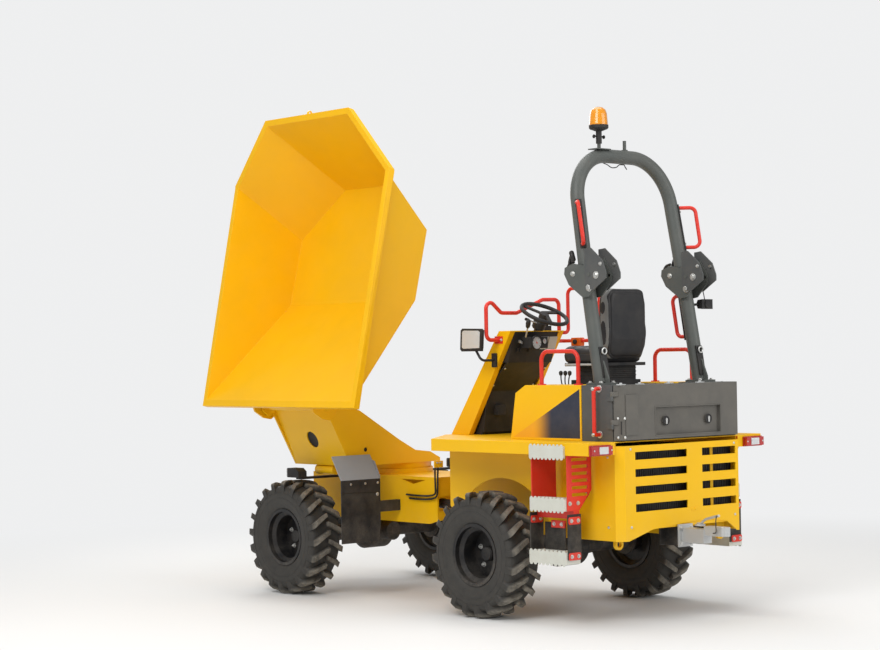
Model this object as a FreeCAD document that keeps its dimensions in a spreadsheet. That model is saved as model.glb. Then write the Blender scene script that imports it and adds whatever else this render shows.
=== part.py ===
import FreeCAD, Part
import math
import os
from types import SimpleNamespace

import Sketcher

# Articulated site dumper with a swivel skip, in millimetres.
# X points forward, Y to the machine's left and Z up. Sizes are measured from the rear axle's
# centre line on the ground, and every piece is then moved to the middle of the machine's footprint.
# It is drawn as it stands: straight, skip slewed to the left and tipped right up.

driving = {
    # wheels
    "wheelbase": 2100, "wheelCentreY": 752, "wheelRadius": 422.5, "tyreWidth": 280, "treadRadius": 396,
    "treadHalf": 112, "lugsPerSide": 18, "lugSkirt": 20,
    "rimRadius": 210.5, "rimSeat": 196, "rimHalf": 115, "rimWell": 168, "rimSheet": 8, "discSet": -46,
    "discSheet": 14, "hubRadius": 82, "hubCap": 52, "hubNose": 46,
    # axles
    "axleTube": 62, "axleFlange": 105, "axleEnd": 612, "diffRadius": 140, "diffHalf": 95,
    # rear frame and its articulation knuckle
    "railY": 270, "railPlate": 12, "railBottom": 520, "railTop": 1000, "rearFrameBack": -960,
    "earReach": 230, "pivotBehind": 1250, "earHalf": 105, "earLow": 560, "earHigh": 800, "earPlate": 36,
    "pivotPin": 34, "pivotTube": 72, "tieEye": 20, "tieSheet": 22,
    # deck and rear body
    "deckTop": 1190, "deckPlate": 8, "deckDrop": 82, "deckHalf": 850, "deckFront": 436, "deckNose": 880,
    "noseHalf": 320, "deckBack": -1060, "skinY": 590, "skinSheet": 6, "skinFront": 530,
    "skinBottom": 552, "archRadius": 500, "panelBack": -1100, "panelHalf": 558, "cornerCut": 47,
    "panelSheet": 8, "archRise": 95, "panelGap": 6,
    # boxes above the deck
    "upperY": 605, "boxTop": 1552, "boxFront": -100, "boxBack": -768, "boxInner": 335, "boxSheet": 5,
    "towerSheet": 8, "seatWidth": 430,
    # dash tower
    "towerHalf": 265, "towerTop": 1925, "towerPostDepth": 130, "towerFoot": 690, "towerHead": 205,
    "handWheelRadius": 168, "handWheelGrip": 14,
    # roll bar
    "rollY": 485, "rollFootX": -830, "rollTube": 47, "rollHingeX": -795, "rollHingeZ": 2272,
    "rollLean": 0.172, "rollTop": 3085, "rollBend": 330, "rollBowHalf": 440,
    # steps
    "stepFront": -530, "stepBack": -862, "stepPlate": 10, "treadHeight": 78, "stepMiddle": 792,
    "stepLow": 452, "strapWidth": 118, "strapThick": 10,
    # front frame
    "frameY": 300, "framePlate": 14, "frameBottom": 535, "frameTop": 860, "noseAhead": 350,
    "tailGap": 150, "slewBehind": 200, "ringRadius": 330, "ringHeight": 81, "topPlate": 15,
    "guardBehind": 680, "guardInner": 470, "guardOuter": 860, "guardBottom": 408, "guardTop": 868,
    "guardSheet": 8,
    # swivel frame, drawn pointing forward from the slew centre
    "swivelHalf": 335, "swivelPlate": 16, "swivelFloor": 18, "tipU": 880, "tipRise": 444,
    "tipPin": 32, "slewAngle": 90,
    # skip, drawn level from its tip pins
    "floorU": -868, "floorW": -340, "floorFlat": 533, "floorTail": 915, "lipU": 11, "lipW": 198,
    "sideRimU": -1677, "sideRimW": 253, "backRimU": -2110, "backRimW": 374, "sideFlare": 0.2545,
    "floorHalf": 745, "tailHalf": 300, "skipSheet": 8, "rimBox": 52, "rimDepth": 34,
    "tipAngle": 76.5,
    # tip ram
    "ramU": 250, "ramRise": 46, "ramEyeU": -225, "ramEyeW": -6, "ramBarrel": 46, "ramRod": 27,
    "ramPinRadius": 20, "ramBarrelEnd": 432, "ramStroke": 278, "ramNeck": 60,
    # steering ram
    "steerRearBehind": 100, "steerRearY": 180, "steerFrontAhead": 450, "steerFrontY": 200, "steerZ": 680,
    "steerBarrel": 32, "steerRod": 16, "steerPinRadius": 14, "steerBarrelEnd": 330, "steerStroke": 108,
    "steerNeck": 42,
    # fits
    "runGap": 0.5, "seatGap": 0.3, "pinGap": 0.08, "clearGap": 8,
    # middle of the footprint
    "centreX": 675, "centreY": 95,
}

doc = FreeCAD.newDocument("SiteDumper")
sheet = doc.addObject("Spreadsheet::Sheet", "Sizes")
for row, (name, value) in enumerate(driving.items(), start=1):
    sheet.set(f"A{row}", name)
    sheet.set(f"B{row}", str(value))
    sheet.setAlias(f"B{row}", name)
doc.recompute()


def formulaOf(value):
    return value.formula if isinstance(value, Size) else f"({float(value)})"


def mm(value):
    return value.value if isinstance(value, Size) else float(value)


class Size:
    # a size from the sheet, or a sum of sizes, which keeps both its value and its formula
    def __init__(self, value, formula):
        self.value = value
        self.formula = formula

    def __add__(self, other):
        return Size(self.value + mm(other), f"({self.formula} + {formulaOf(other)})")

    def __radd__(self, other):
        return Size(mm(other) + self.value, f"({formulaOf(other)} + {self.formula})")

    def __sub__(self, other):
        return Size(self.value - mm(other), f"({self.formula} - {formulaOf(other)})")

    def __rsub__(self, other):
        return Size(mm(other) - self.value, f"({formulaOf(other)} - {self.formula})")

    def __mul__(self, other):
        return Size(self.value * mm(other), f"({self.formula} * {formulaOf(other)})")

    def __rmul__(self, other):
        return Size(mm(other) * self.value, f"({formulaOf(other)} * {self.formula})")

    def __truediv__(self, other):
        return Size(self.value / mm(other), f"({self.formula} / {formulaOf(other)})")

    def __neg__(self):
        return Size(-self.value, f"(-{self.formula})")


s = SimpleNamespace(**{name: Size(float(sheet.get(name)), f"Sizes.{name}") for name in driving})

# places that follow from the sizes: the front chassis and the articulation pin keep to the front axle
s.rearAxleX = Size(0.0, "(0.0)")
s.pivotX = s.wheelbase - s.pivotBehind
s.rearFrameFront = s.pivotX - s.earReach
s.frameTail = s.pivotX + s.tailGap
s.frameNose = s.wheelbase + s.noseAhead
s.slewX = s.wheelbase - s.slewBehind
s.guardX = s.wheelbase - s.guardBehind
s.swivelBase = s.frameTop + s.topPlate + s.ringHeight
s.tipZ = s.swivelBase + s.tipRise
s.ramZ = s.swivelBase + s.swivelFloor + s.ramRise
s.steerRearX = s.pivotX - s.steerRearBehind
s.steerFrontX = s.pivotX + s.steerFrontAhead

axisTurn = {
    "x": FreeCAD.Rotation(FreeCAD.Vector(0, 1, 0), 90),
    "y": FreeCAD.Rotation(FreeCAD.Vector(1, 0, 0), -90),
    "z": FreeCAD.Rotation(),
}


def vec(x, y, z):
    return FreeCAD.Vector(mm(x), mm(y), mm(z))


def bind(piece, prop, value):
    piece.setExpression(prop, formulaOf(value))


def seat(piece, x, y, z):
    for letter, value in zip("xyz", (x, y, z)):
        bind(piece, f"Placement.Base.{letter}", value)


def box(name, x, y, z):
    solid = doc.addObject("Part::Box", name)
    for prop, (low, high) in (("Length", x), ("Width", y), ("Height", z)):
        bind(solid, prop, high - low)
    seat(solid, x[0], y[0], z[0])
    return solid


def bar(name, axis, start, length, radius):
    solid = doc.addObject("Part::Cylinder", name)
    solid.Placement = FreeCAD.Placement(FreeCAD.Vector(), axisTurn[axis])
    bind(solid, "Radius", radius)
    bind(solid, "Height", length)
    seat(solid, *start)
    return solid


def fuse(name, parts):
    joined = doc.addObject("Part::MultiFuse", name)
    joined.Shapes = parts
    joined.Refine = True
    return joined


def cut(name, base, tool):
    rest = doc.addObject("Part::Cut", name)
    rest.Base = base
    rest.Tool = tool
    rest.Refine = True
    return rest


def common(name, parts):
    shared = doc.addObject("Part::MultiCommon", name)
    shared.Shapes = parts
    shared.Refine = True
    return shared


def ring(name, axis, start, length, outer, inner):
    return cut(name, bar(name + "Outer", axis, start, length, outer),
               bar(name + "Bore", axis, start, length, inner))


def originPlane(body, role):
    return [feature for feature in body.Origin.OriginFeatures if feature.Role == role][0]


def drawOutline(sketch, corners):
    # straight outline, each corner set by its two distances from the sketch's origin
    total = len(corners)
    first = sketch.GeometryCount
    for number in range(total):
        here, there = corners[number], corners[(number + 1) % total]
        sketch.addGeometry(Part.LineSegment(vec(*here, 0), vec(*there, 0)))
    for number in range(total):
        sketch.addConstraint(Sketcher.Constraint(
            "Coincident", first + number, 2, first + (number + 1) % total, 1))
    for number, corner in enumerate(corners):
        for kind, value in zip(("DistanceX", "DistanceY"), corner):
            index = sketch.addConstraint(Sketcher.Constraint(kind, -1, 1, first + number, 1, mm(value)))
            sketch.setExpression(f"Constraints[{index}]", formulaOf(value))


def drawHole(sketch, sideways, up, radius):
    circle = sketch.addGeometry(Part.Circle(vec(sideways, up, 0), FreeCAD.Vector(0, 0, 1), mm(radius)))
    for kind, value in (("DistanceX", sideways), ("DistanceY", up)):
        index = sketch.addConstraint(Sketcher.Constraint(kind, -1, 1, circle, 3, mm(value)))
        sketch.setExpression(f"Constraints[{index}]", formulaOf(value))
    index = sketch.addConstraint(Sketcher.Constraint("Radius", circle, mm(radius)))
    sketch.setExpression(f"Constraints[{index}]", formulaOf(radius))


planeRole = {"xy": "XY_Plane", "xz": "XZ_Plane", "yz": "YZ_Plane"}


def plate(name, plane, corners, low, high, holes=(), window=()):
    # a flat piece: an outline in one plane, padded from low to high along the third axis
    body = doc.addObject("PartDesign::Body", name)
    sketch = body.newObject("Sketcher::SketchObject", name + "Outline")
    sketch.AttachmentSupport = [(originPlane(body, planeRole[plane]), "")]
    sketch.MapMode = "FlatFace"
    drawOutline(sketch, corners)
    if window:
        drawOutline(sketch, window)
    for sideways, up, radius in holes:
        drawHole(sketch, sideways, up, radius)
    pad = body.newObject("PartDesign::Pad", name + "Pad")
    pad.Profile = sketch
    pad.Reversed = plane == "xz"
    bind(pad, "Length", high - low)
    along = {"xy": "z", "xz": "y", "yz": "x"}[plane]
    bind(body, f"Placement.Base.{along}", low)
    return body


def turned(name, corners):
    # a turned piece: an outline of (along Y, radius) corners revolved about Y
    body = doc.addObject("PartDesign::Body", name)
    sketch = body.newObject("Sketcher::SketchObject", name + "Outline")
    sketch.AttachmentSupport = [(originPlane(body, "YZ_Plane"), "")]
    sketch.MapMode = "FlatFace"
    drawOutline(sketch, corners)
    spin = body.newObject("PartDesign::Revolution", name + "Spin")
    spin.Profile = sketch
    spin.ReferenceAxis = (sketch, ["H_Axis"])
    spin.Angle = 360
    return body


def shaped(name, shape):
    piece = doc.addObject("Part::Feature", name)
    piece.Shape = shape
    return piece


def closedShape(rings):
    # flat-walled solid through rings of corners, closed over its first and its last ring
    panels = [rings[0], rings[-1]]
    for lower, upper in zip(rings, rings[1:]):
        for number in range(len(lower)):
            after = (number + 1) % len(lower)
            panels.append([lower[number], lower[after], upper[after], upper[number]])
    skin = Part.Shell([Part.Face(Part.makePolygon(panel + [panel[0]])) for panel in panels])
    solid = Part.Solid(skin)
    if solid.Volume < 0:
        solid.reverse()
    return solid


def manySided(name, sections, flats, firstTurn):
    # a flat-sided drum about Y, through sections of (along Y, radius to its flats), from a first corner's turn
    rings = []
    flats = round(flats)
    for along, radius in sections:
        reach = mm(radius) / math.cos(math.pi / flats)
        turns = [math.radians(firstTurn + 360 / flats * number) for number in range(flats)]
        rings.append([vec(reach * math.cos(turn), along, reach * math.sin(turn)) for turn in turns])
    return shaped(name, closedShape(rings))


def bentPath(points, bend):
    # straight runs joined by tangent arcs, each as near to the asked bend as its runs allow
    spots = [vec(*point) for point in points]
    edges = []
    here = spots[0]
    for before, corner, after in zip(spots, spots[1:], spots[2:]):
        back = (before - corner).normalize()
        ahead = (after - corner).normalize()
        half = back.getAngle(ahead) / 2
        room = 0.48 * min((before - corner).Length, (after - corner).Length)
        radius = min(mm(bend), room * math.tan(half))
        reach = radius / math.tan(half)
        middle = (back + ahead).normalize()
        start = corner + back * reach
        end = corner + ahead * reach
        top = corner + middle * (radius / math.sin(half) - radius)
        if (start - here).Length > 0.01:
            edges.append(Part.LineSegment(here, start).toShape())
        edges.append(Part.Arc(start, top, end).toShape())
        here = end
    edges.append(Part.LineSegment(here, spots[-1]).toShape())
    return Part.Wire(edges)


def pipe(name, points, radius, bend):
    path = bentPath(points, bend)
    heading = path.Edges[0].tangentAt(path.Edges[0].FirstParameter)
    section = Part.Wire([Part.makeCircle(mm(radius), vec(*points[0]), heading)])
    return shaped(name, path.makePipeShell([section], True, True))


def across(side, near, far):
    # a span on the left (side 1) or, mirrored, on the right (side -1)
    return (near, far) if side > 0 else (-far, -near)


sides = (("left", 1), ("right", -1))

toMachine = FreeCAD.Placement(vec(-s.centreX, -s.centreY, 0), FreeCAD.Rotation())
toSwivel = toMachine * FreeCAD.Placement(
    vec(s.slewX, 0, 0), FreeCAD.Rotation(FreeCAD.Vector(0, 0, 1), mm(s.slewAngle)))
toSkip = toSwivel * FreeCAD.Placement(
    vec(s.tipU, 0, s.tipZ), FreeCAD.Rotation(FreeCAD.Vector(0, 1, 0), mm(s.tipAngle)))

nodes = []


def node(label, parts, place=toMachine):
    piece = doc.addObject("Part::Compound", label)
    piece.Label = label
    piece.Links = parts
    if place is toMachine:
        seat(piece, -s.centreX, -s.centreY, 0)
    else:
        piece.Placement = place
    nodes.append(piece)
    return piece


# wheels: one tyre and one rim are drawn, then set at the four corners. Two flats go to each lug
tyreSide = s.tyreWidth / 2
beadSeat = s.rimSeat + s.seatGap
beadSide = s.rimHalf - s.rimSheet - s.seatGap
beadThick = 16
tyreRise = s.treadRadius - s.rimRadius
lugsPerSide, hollowFlats = int(mm(s.lugsPerSide)), 12
outside = [(beadSide, s.rimRadius + 5), (tyreSide, s.rimRadius + tyreRise * 0.45),
           (s.treadHalf + 4, s.treadRadius - 4)]
inside = [(beadSide - beadThick, s.treadRadius - 34)]
outside = [(-far, radius) for far, radius in outside] + [(far, radius) for far, radius in reversed(outside)]
inside = [(-far, radius) for far, radius in inside] + [(far, radius) for far, radius in reversed(inside)]
bead = [(-s.tyreWidth, beadSeat), (s.tyreWidth, beadSeat)]
lugSpan = 8
carcass = cut("Carcass", manySided("CarcassOuter", outside, lugsPerSide * 2, -90 - lugSpan), fuse(
    "CarcassHollow", [manySided("CarcassInner", inside, hollowFlats, 0),
                      manySided("CarcassBead", bead, hollowFlats, 0)]))

# a lug seen from above: along the tread and across it, as shares of its reach and of the half width
lugCorners = [(-1, -0.05), (0.36, 1), (1, 1), (-0.3, -0.05)]
lugReach = s.wheelRadius * math.sin(math.radians(lugSpan))
lugTop = s.wheelRadius * math.cos(math.radians(lugSpan))
lugEnd = s.treadHalf + s.lugSkirt
lugs = []
for side in (1, -1):
    lugEdge = [(lugReach * along, lugEnd * share * side) for along, share in lugCorners]
    lugBar = plate(f"LugBar{side + 1}", "xy", lugEdge, s.treadRadius - 60, lugTop)
    lugSection = plate(f"LugSection{side + 1}", "yz", [
        (-10 * side, s.treadRadius - 9), (-10 * side, lugTop + 5), ((s.treadHalf + 6) * side, lugTop + 5),
        ((s.treadHalf + 14) * side, s.treadRadius - 66), ((s.treadHalf - 6) * side, s.treadRadius - 9)],
        -lugReach * 1.2, lugReach * 1.2)
    lug = common(f"Lug{side + 1}", [lugBar, lugSection])
    ringOfLugs = doc.addObject("Part::Feature", f"LugRing{side + 1}")
    doc.recompute()
    ringOfLugs.Shape = Part.Compound([
        lug.Shape.rotated(FreeCAD.Vector(), FreeCAD.Vector(0, 1, 0),
                          180 + lugSpan + (turn + 0.25 - side / 4) * 360 / lugsPerSide)
        for turn in range(lugsPerSide)])
    lugs.append(ringOfLugs)
tyre = fuse("Tyre", [carcass] + lugs)
tyre.Refine = False

well = s.rimWell
sheetIn = s.rimSeat - s.rimSheet
discBack = s.discSet - s.discSheet / 2
discFront = s.discSet + s.discSheet / 2
hubBack = s.axleEnd + s.runGap - s.wheelCentreY
barrel = turned("RimBarrel", [
    (s.rimHalf, s.rimRadius), (s.rimHalf - s.rimSheet, s.rimRadius), (s.rimHalf - s.rimSheet, s.rimSeat),
    (s.rimHalf - 42, s.rimSeat), (s.rimHalf - 60, well), (60 - s.rimHalf, well),
    (42 - s.rimHalf, s.rimSeat), (s.rimSheet - s.rimHalf, s.rimSeat), (s.rimSheet - s.rimHalf, s.rimRadius),
    (-s.rimHalf, s.rimRadius), (-s.rimHalf, sheetIn), (36 - s.rimHalf, sheetIn),
    (54 - s.rimHalf, well - s.rimSheet), (s.rimHalf - 54, well - s.rimSheet), (s.rimHalf - 36, sheetIn),
    (s.rimHalf, sheetIn)])
hub = turned("Hub", [
    (hubBack, 0), (hubBack, s.hubRadius), (discBack, s.hubRadius), (discBack, well - 1), (discFront, well - 1),
    (discFront, s.hubCap), (discFront + s.hubNose - 10, s.hubCap), (discFront + s.hubNose, s.hubCap - 8),
    (discFront + s.hubNose, 0)])
rim = fuse("Rim", [barrel, hub])


def mirrored(name, source):
    # the same piece for the machine's other side
    twin = doc.addObject("Part::Mirroring", name)
    twin.Source = source
    twin.Normal = FreeCAD.Vector(0, 1, 0)
    return twin


wheelPieces = {1: (tyre, rim), -1: (mirrored("TyreTwin", tyre), mirrored("RimTwin", rim))}
for end, wheelX in (("front", s.wheelbase), ("rear", s.rearAxleX)):
    for word, side in sides:
        for kind, piece in zip(("tyre", "rim"), wheelPieces[side]):
            wheel = node(f"{kind}_{end}_{word}", [piece])
            seat(wheel, wheelX - s.centreX, s.wheelCentreY * side - s.centreY, s.wheelRadius)


def axle(name, axleX, padTop, padY, nose):
    # a turned housing with its end flanges, differential, pads under the frame and input nose
    end, tube = s.axleEnd, s.axleTube
    half = [(s.diffHalf, s.diffRadius), (s.diffHalf + 75, tube), (end - 22, tube),
            (end - 22, s.axleFlange), (end, s.axleFlange), (end, 0)]
    housing = turned(name + "Housing", [(-far, radius) for far, radius in reversed(half)] + half)
    seat(housing, axleX, 0, s.wheelRadius)
    pads = [box(f"{name}Pad{side + 1}", (axleX - 70, axleX + 70), across(side, padY - 45, padY + 45),
                (s.wheelRadius + 30, padTop)) for word, side in sides]
    noseBar = bar(name + "Nose", "x", (axleX, 0, s.wheelRadius), 1, s.diffHalf - 25)
    bind(noseBar, "Height", s.diffRadius + 110)
    bind(noseBar, "Placement.Base.x", axleX - (0 if nose > 0 else 1) * (s.diffRadius + 110))
    return fuse(name, [housing, noseBar] + pads)


node("rear_axle", [axle("RearAxle", s.rearAxleX, s.railBottom, s.railY, 1)])
node("front_axle", [axle("FrontAxle", s.wheelbase, s.frameBottom, s.frameY - 30, -1)])

# rear frame: two rails, cross members and the two ears of the articulation joint
railOut = s.railY + s.railPlate
rails = [plate(f"Rail{side + 1}", "xz", [
    (s.rearFrameBack, s.railBottom + 110), (s.rearFrameBack, s.railTop), (s.rearFrameFront, s.railTop),
    (s.rearFrameFront, s.railBottom), (s.rearFrameBack + 230, s.railBottom)],
    *across(side, s.railY, railOut)) for word, side in sides]
crossPlates = [
    box("RearCross", (s.rearFrameBack, s.rearFrameBack + 16), (-s.railY, s.railY), (s.railBottom + 110, 800)),
    box("FrontCross", (s.rearFrameFront - 20, s.rearFrameFront), (-railOut, railOut),
        (s.railBottom, s.railTop)),
    box("MiddleCross", (-240, -224), (-s.railY, s.railY), (s.railBottom + 130, 900))]
ears = []
for name, earZ in (("LowEar", s.earLow), ("HighEar", s.earHigh - s.earPlate)):
    ears.append(plate(name, "xy", [
        (s.rearFrameFront - 10, -s.railY + 60), (s.pivotX, -s.earHalf), (s.pivotX, s.earHalf),
        (s.rearFrameFront - 10, s.railY - 60)], earZ, earZ + s.earPlate))
    ears.append(bar(name + "Round", "z", (s.pivotX, 0, earZ), s.earPlate, s.earHalf))
pin = bar("ArticulationPin", "z", (s.pivotX, 0, s.earLow - 24), s.earHigh - s.earLow + 48, s.pivotPin)
steerLugs = []
for number, lift in enumerate((-42, 26)):
    lugLow = s.steerZ + lift
    steerLugs.append(box(f"SteerLug{number}", (s.rearFrameFront - 10, s.steerRearX),
                         (s.steerRearY - 32, s.steerRearY + 32), (lugLow, lugLow + 16)))
    steerLugs.append(bar(f"SteerLugEnd{number}", "z", (s.steerRearX, s.steerRearY, lugLow), 16, 32))
steerPin = bar("SteerPin", "z", (s.steerRearX, s.steerRearY, s.steerZ - 50), 100, s.steerPinRadius - s.pinGap)
tieLoops, tieEyes = [], []
tieBack, tieY, tieZ = s.rearFrameBack - 25, s.skinY - 92, s.skinBottom - 28
for word, side in sides:
    start = (tieBack, tieY * side, tieZ)
    tieLoops.append(bar(f"TieLoop{side + 1}", "x", start, s.tieSheet, s.tieEye + 16))
    tieLoops.append(plate(f"TieHanger{side + 1}", "yz", [
        (side * (s.railY + 5), s.railBottom + 120), (side * (s.railY + 5), s.railBottom + 180),
        (side * (tieY + s.tieEye + 16), s.railBottom + 180), (side * (tieY + s.tieEye + 16), tieZ),
        (side * (tieY - s.tieEye - 16), tieZ), (side * (tieY - s.tieEye - 16), s.railBottom + 120)],
        tieBack, tieBack + s.tieSheet))
    tieLoops.append(box(f"TieFoot{side + 1}", (tieBack, s.rearFrameBack + 20), across(side, s.railY + 5, railOut + 20),
                        (s.railBottom + 120, s.railBottom + 180)))
    tieEyes.append(bar(f"TieEye{side + 1}", "x", start, s.tieSheet, s.tieEye))
rearFrame = fuse("RearFrame", rails + crossPlates + ears + [pin, steerPin] + steerLugs + tieLoops)
node("rear_frame", [cut("RearFrameBored", rearFrame, fuse("TieEyes", tieEyes))])
engineHalf = s.railY - s.seatGap
node("engine_block", [box("Engine", (s.rearFrameBack + 20, -250), (-engineHalf, engineHalf),
                          (s.railBottom + 150, s.deckTop - 40))])

# deck with its folded edge, and the body skins below it
deckUnder = s.deckTop - s.deckPlate
deckEdge = [(s.deckBack, -s.deckHalf), (s.deckFront, -s.deckHalf), (s.deckNose, -s.noseHalf),
            (s.deckNose, s.noseHalf), (s.deckFront, s.deckHalf), (s.deckBack, s.deckHalf)]
fold = s.deckPlate
foldEdge = [(s.deckBack + fold, fold - s.deckHalf), (s.deckFront - fold * 0.45, fold - s.deckHalf),
            (s.deckNose - fold, -s.noseHalf + fold * 0.35), (s.deckNose - fold, s.noseHalf - fold * 0.35),
            (s.deckFront - fold * 0.45, s.deckHalf - fold), (s.deckBack + fold, s.deckHalf - fold)]
deckSkirt = plate("DeckSkirt", "xy", deckEdge, s.deckTop - s.deckDrop, deckUnder + 1, window=foldEdge)
skirtGap = box("DeckSkirtGap", (s.deckBack - 5, s.deckBack + fold + 5), (-s.upperY, s.upperY),
               (s.deckTop - s.deckDrop - 5, deckUnder))
deckTopPlate = plate("DeckTop", "xy", deckEdge, deckUnder, s.deckTop)
node("deck", [fuse("Deck", [cut("DeckSides", deckSkirt, skirtGap), deckTopPlate])])

skinBack = s.panelBack + s.cornerCut
archBar = bar("ArchBar", "y", (0, -s.upperY - 20, s.wheelRadius), s.upperY * 2 + 40, s.archRadius)
skins = []
for word, side in sides:
    skins.append(plate(f"Skin{side + 1}", "xz", [
        (skinBack, s.skinBottom), (skinBack, deckUnder), (s.skinFront, deckUnder),
        (s.skinFront, s.skinBottom + 160), (s.skinFront - 60, s.skinBottom + 110),
        (s.rearAxleX, s.skinBottom + 110), (s.rearAxleX, s.skinBottom)],
        *across(side, s.skinY, s.skinY + s.skinSheet)))
    skins.append(box(f"SkinTie{side + 1}", (-700, -640), across(side, railOut + 0.2, s.skinY), (700, 740)))
bulkhead = box("Bulkhead", (s.skinFront - 8, s.skinFront), (-s.skinY, s.skinY), (s.railTop + 10, deckUnder))
node("side_skins", [cut("SideSkins", fuse("SkinSet", skins + [bulkhead]), archBar)])

# rear panel: bent at its corners, with an arch below and four rows of slots in two columns
# the rear corners are cut back: how far a wall and its bend lie from the same line a sheet further in
cornerLean = mm(s.upperY - s.panelHalf) / mm(skinBack - s.panelBack)
skewWall = math.hypot(1, cornerLean)
skewBend = skewWall - cornerLean
panelPlan = [
    (s.panelBack, -s.panelHalf), (s.panelBack, s.panelHalf), (skinBack, s.upperY),
    (skinBack, s.upperY - s.panelSheet * skewWall),
    (s.panelBack + s.panelSheet, s.panelHalf - s.panelSheet * skewBend),
    (s.panelBack + s.panelSheet, s.panelSheet * skewBend - s.panelHalf),
    (skinBack, s.panelSheet * skewWall - s.upperY), (skinBack, -s.upperY)]
panel = plate("Panel", "xy", panelPlan, s.skinBottom, deckUnder - 20)
archCut = plate("PanelArch", "yz", [
    (545, s.skinBottom - 5), (300, s.skinBottom + 62), (-100, s.skinBottom + s.archRise - 6),
    (-260, s.skinBottom + s.archRise), (-430, s.skinBottom + 70), (-545, s.skinBottom - 5)],
    s.panelBack - 5, s.panelBack + s.panelSheet + 5)
slots = []
for row, slotTop in enumerate((1120, 1010, 900, 785)):
    for column, (slotLeft, slotRight) in enumerate(((460, -40), (-190, -530))):
        slots.append(box(f"Slot{row}{column}", (s.panelBack - 5, s.panelBack + s.panelSheet + 5),
                         (slotRight, slotLeft), (slotTop - 50, slotTop)))
slopePlate = plate("SlopePlate", "yz", [
    (500, s.skinBottom + 64), (500, s.skinBottom + 150), (-500, s.skinBottom + 150),
    (-500, s.skinBottom + 64)], s.panelBack + s.panelSheet, s.panelBack + s.panelSheet + 6)
node("grille_panel", [fuse("GrillePanel", [
    cut("PanelOpen", panel, fuse("PanelOpenings", [archCut] + slots)), slopePlate])])

# rear cover: a bent tray that swings on its left edge
coverBottom = s.deckTop + s.clearGap
coverTop = s.boxTop
trayEdge = [(s.panelBack, -s.panelHalf), (s.panelBack, s.panelHalf), (skinBack, s.upperY),
            (skinBack, -s.upperY)]
trayInner = [(s.panelBack + s.boxSheet, s.boxSheet * skewBend - s.panelHalf),
             (s.panelBack + s.boxSheet, s.panelHalf - s.boxSheet * skewBend),
             (skinBack + 1, s.upperY - s.boxSheet * skewWall + 1), (skinBack + 1, s.boxSheet * skewWall - s.upperY - 1)]
tray = plate("CoverTray", "xy", trayEdge, coverBottom, coverTop)
trayHollow = plate("CoverHollow", "xy", trayInner, coverBottom - 1, coverTop - s.boxSheet)
recess = box("CoverRecess", (s.panelBack - 1, s.panelBack + 22), (-380, 260), (1222, 1402))
recessTray = box("CoverRecessTray", (s.panelBack, s.panelBack + 26), (-385, 265), (1217, 1407))
latches = [bar(f"CoverLatch{latchY}", "x", (s.panelBack + 8, latchY, 1312), 16, 27) for latchY in (150, -270)]
pivotCoverX, pivotCoverY, knuckleRadius = -1050, 617, 10
coverKnuckles, boxKnuckles = [], []
for number, low in enumerate((1270, 1450)):
    boxKnuckles.append(bar(f"BoxKnuckle{number}", "z", (pivotCoverX, pivotCoverY, low), 30, knuckleRadius))
    boxKnuckles.append(box(f"BoxLeaf{number}", (-1044, -1000), (s.upperY, s.upperY + 7), (low, low + 30)))
    low += 30.3
    coverKnuckles.append(bar(f"CoverKnuckle{number}", "z", (pivotCoverX, pivotCoverY, low), 30, knuckleRadius))
    coverKnuckles.append(plate(f"CoverTab{number}", "xy", [
        (-1070, 586), (-1053, 604), (-1047, 611), (-1054, 624), (-1062, 614), (-1078, 586)], low, low + 30))
hingePlate = box("CoverHingePlate", (s.panelBack - 6, s.panelBack), (430, 545), (1230, 1490))
node("rear_cover", [fuse("RearCover", [
    cut("CoverOpen", fuse("CoverSolid", [cut("CoverShell", tray, trayHollow), recessTray]), recess),
    hingePlate] + latches + coverKnuckles)])

# boxes that stand on the deck: a bent side outline each, hollow and open below
boxOutline = [(s.boxFront, s.deckTop), (s.boxFront - 52, 1500), (s.boxFront - 145, s.boxTop),
              (s.boxBack, s.boxTop), (s.boxBack, s.deckTop)]
hollowOutline = [(s.boxFront - 6, s.deckTop - 1), (s.boxFront - 57, 1498), (s.boxFront - 146, s.boxTop - s.boxSheet),
                 (s.boxBack + s.boxSheet, s.boxTop - s.boxSheet), (s.boxBack + s.boxSheet, s.deckTop - 1)]
for word, side in sides:
    solid = plate(f"SideBox{side + 1}", "xz", boxOutline, *across(side, s.boxInner, s.upperY))
    hollow = plate(f"SideBoxHollow{side + 1}", "xz", hollowOutline,
                   *across(side, s.boxInner + s.boxSheet, s.upperY - s.boxSheet))
    node(f"side_box_{word}", [cut(f"SideBoxShell{side + 1}", solid, hollow)])
    corner = box(f"CornerBox{side + 1}", (skinBack + s.clearGap, s.boxBack - 4),
                 across(side, s.boxInner, s.upperY), (s.deckTop, s.boxTop))
    cornerHollow = box(f"CornerHollow{side + 1}",
                       (skinBack + s.clearGap + s.boxSheet, s.boxBack - 4 - s.boxSheet),
                       across(side, s.boxInner + s.boxSheet, s.upperY - s.boxSheet),
                       (s.deckTop - 1, s.boxTop - s.boxSheet))
    cornerShell = cut(f"CornerShell{side + 1}", corner, cornerHollow)
    node(f"corner_box_{word}", [fuse("CornerHinged", [cornerShell] + boxKnuckles) if side > 0 else cornerShell])
middleY = s.boxInner - 0.2
node("seat_deck", [plate("SeatDeck", "xz", [
    (s.boxFront - 130, s.deckTop), (s.boxFront - 145, s.boxTop - 8), (skinBack + s.clearGap, s.boxTop - 8),
    (skinBack + s.clearGap, s.deckTop), (skinBack + s.clearGap + 6, s.deckTop),
    (skinBack + s.clearGap + 6, s.boxTop - 16), (s.boxFront - 152, s.boxTop - 16),
    (s.boxFront - 138, s.deckTop)], -middleY, middleY)])

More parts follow.
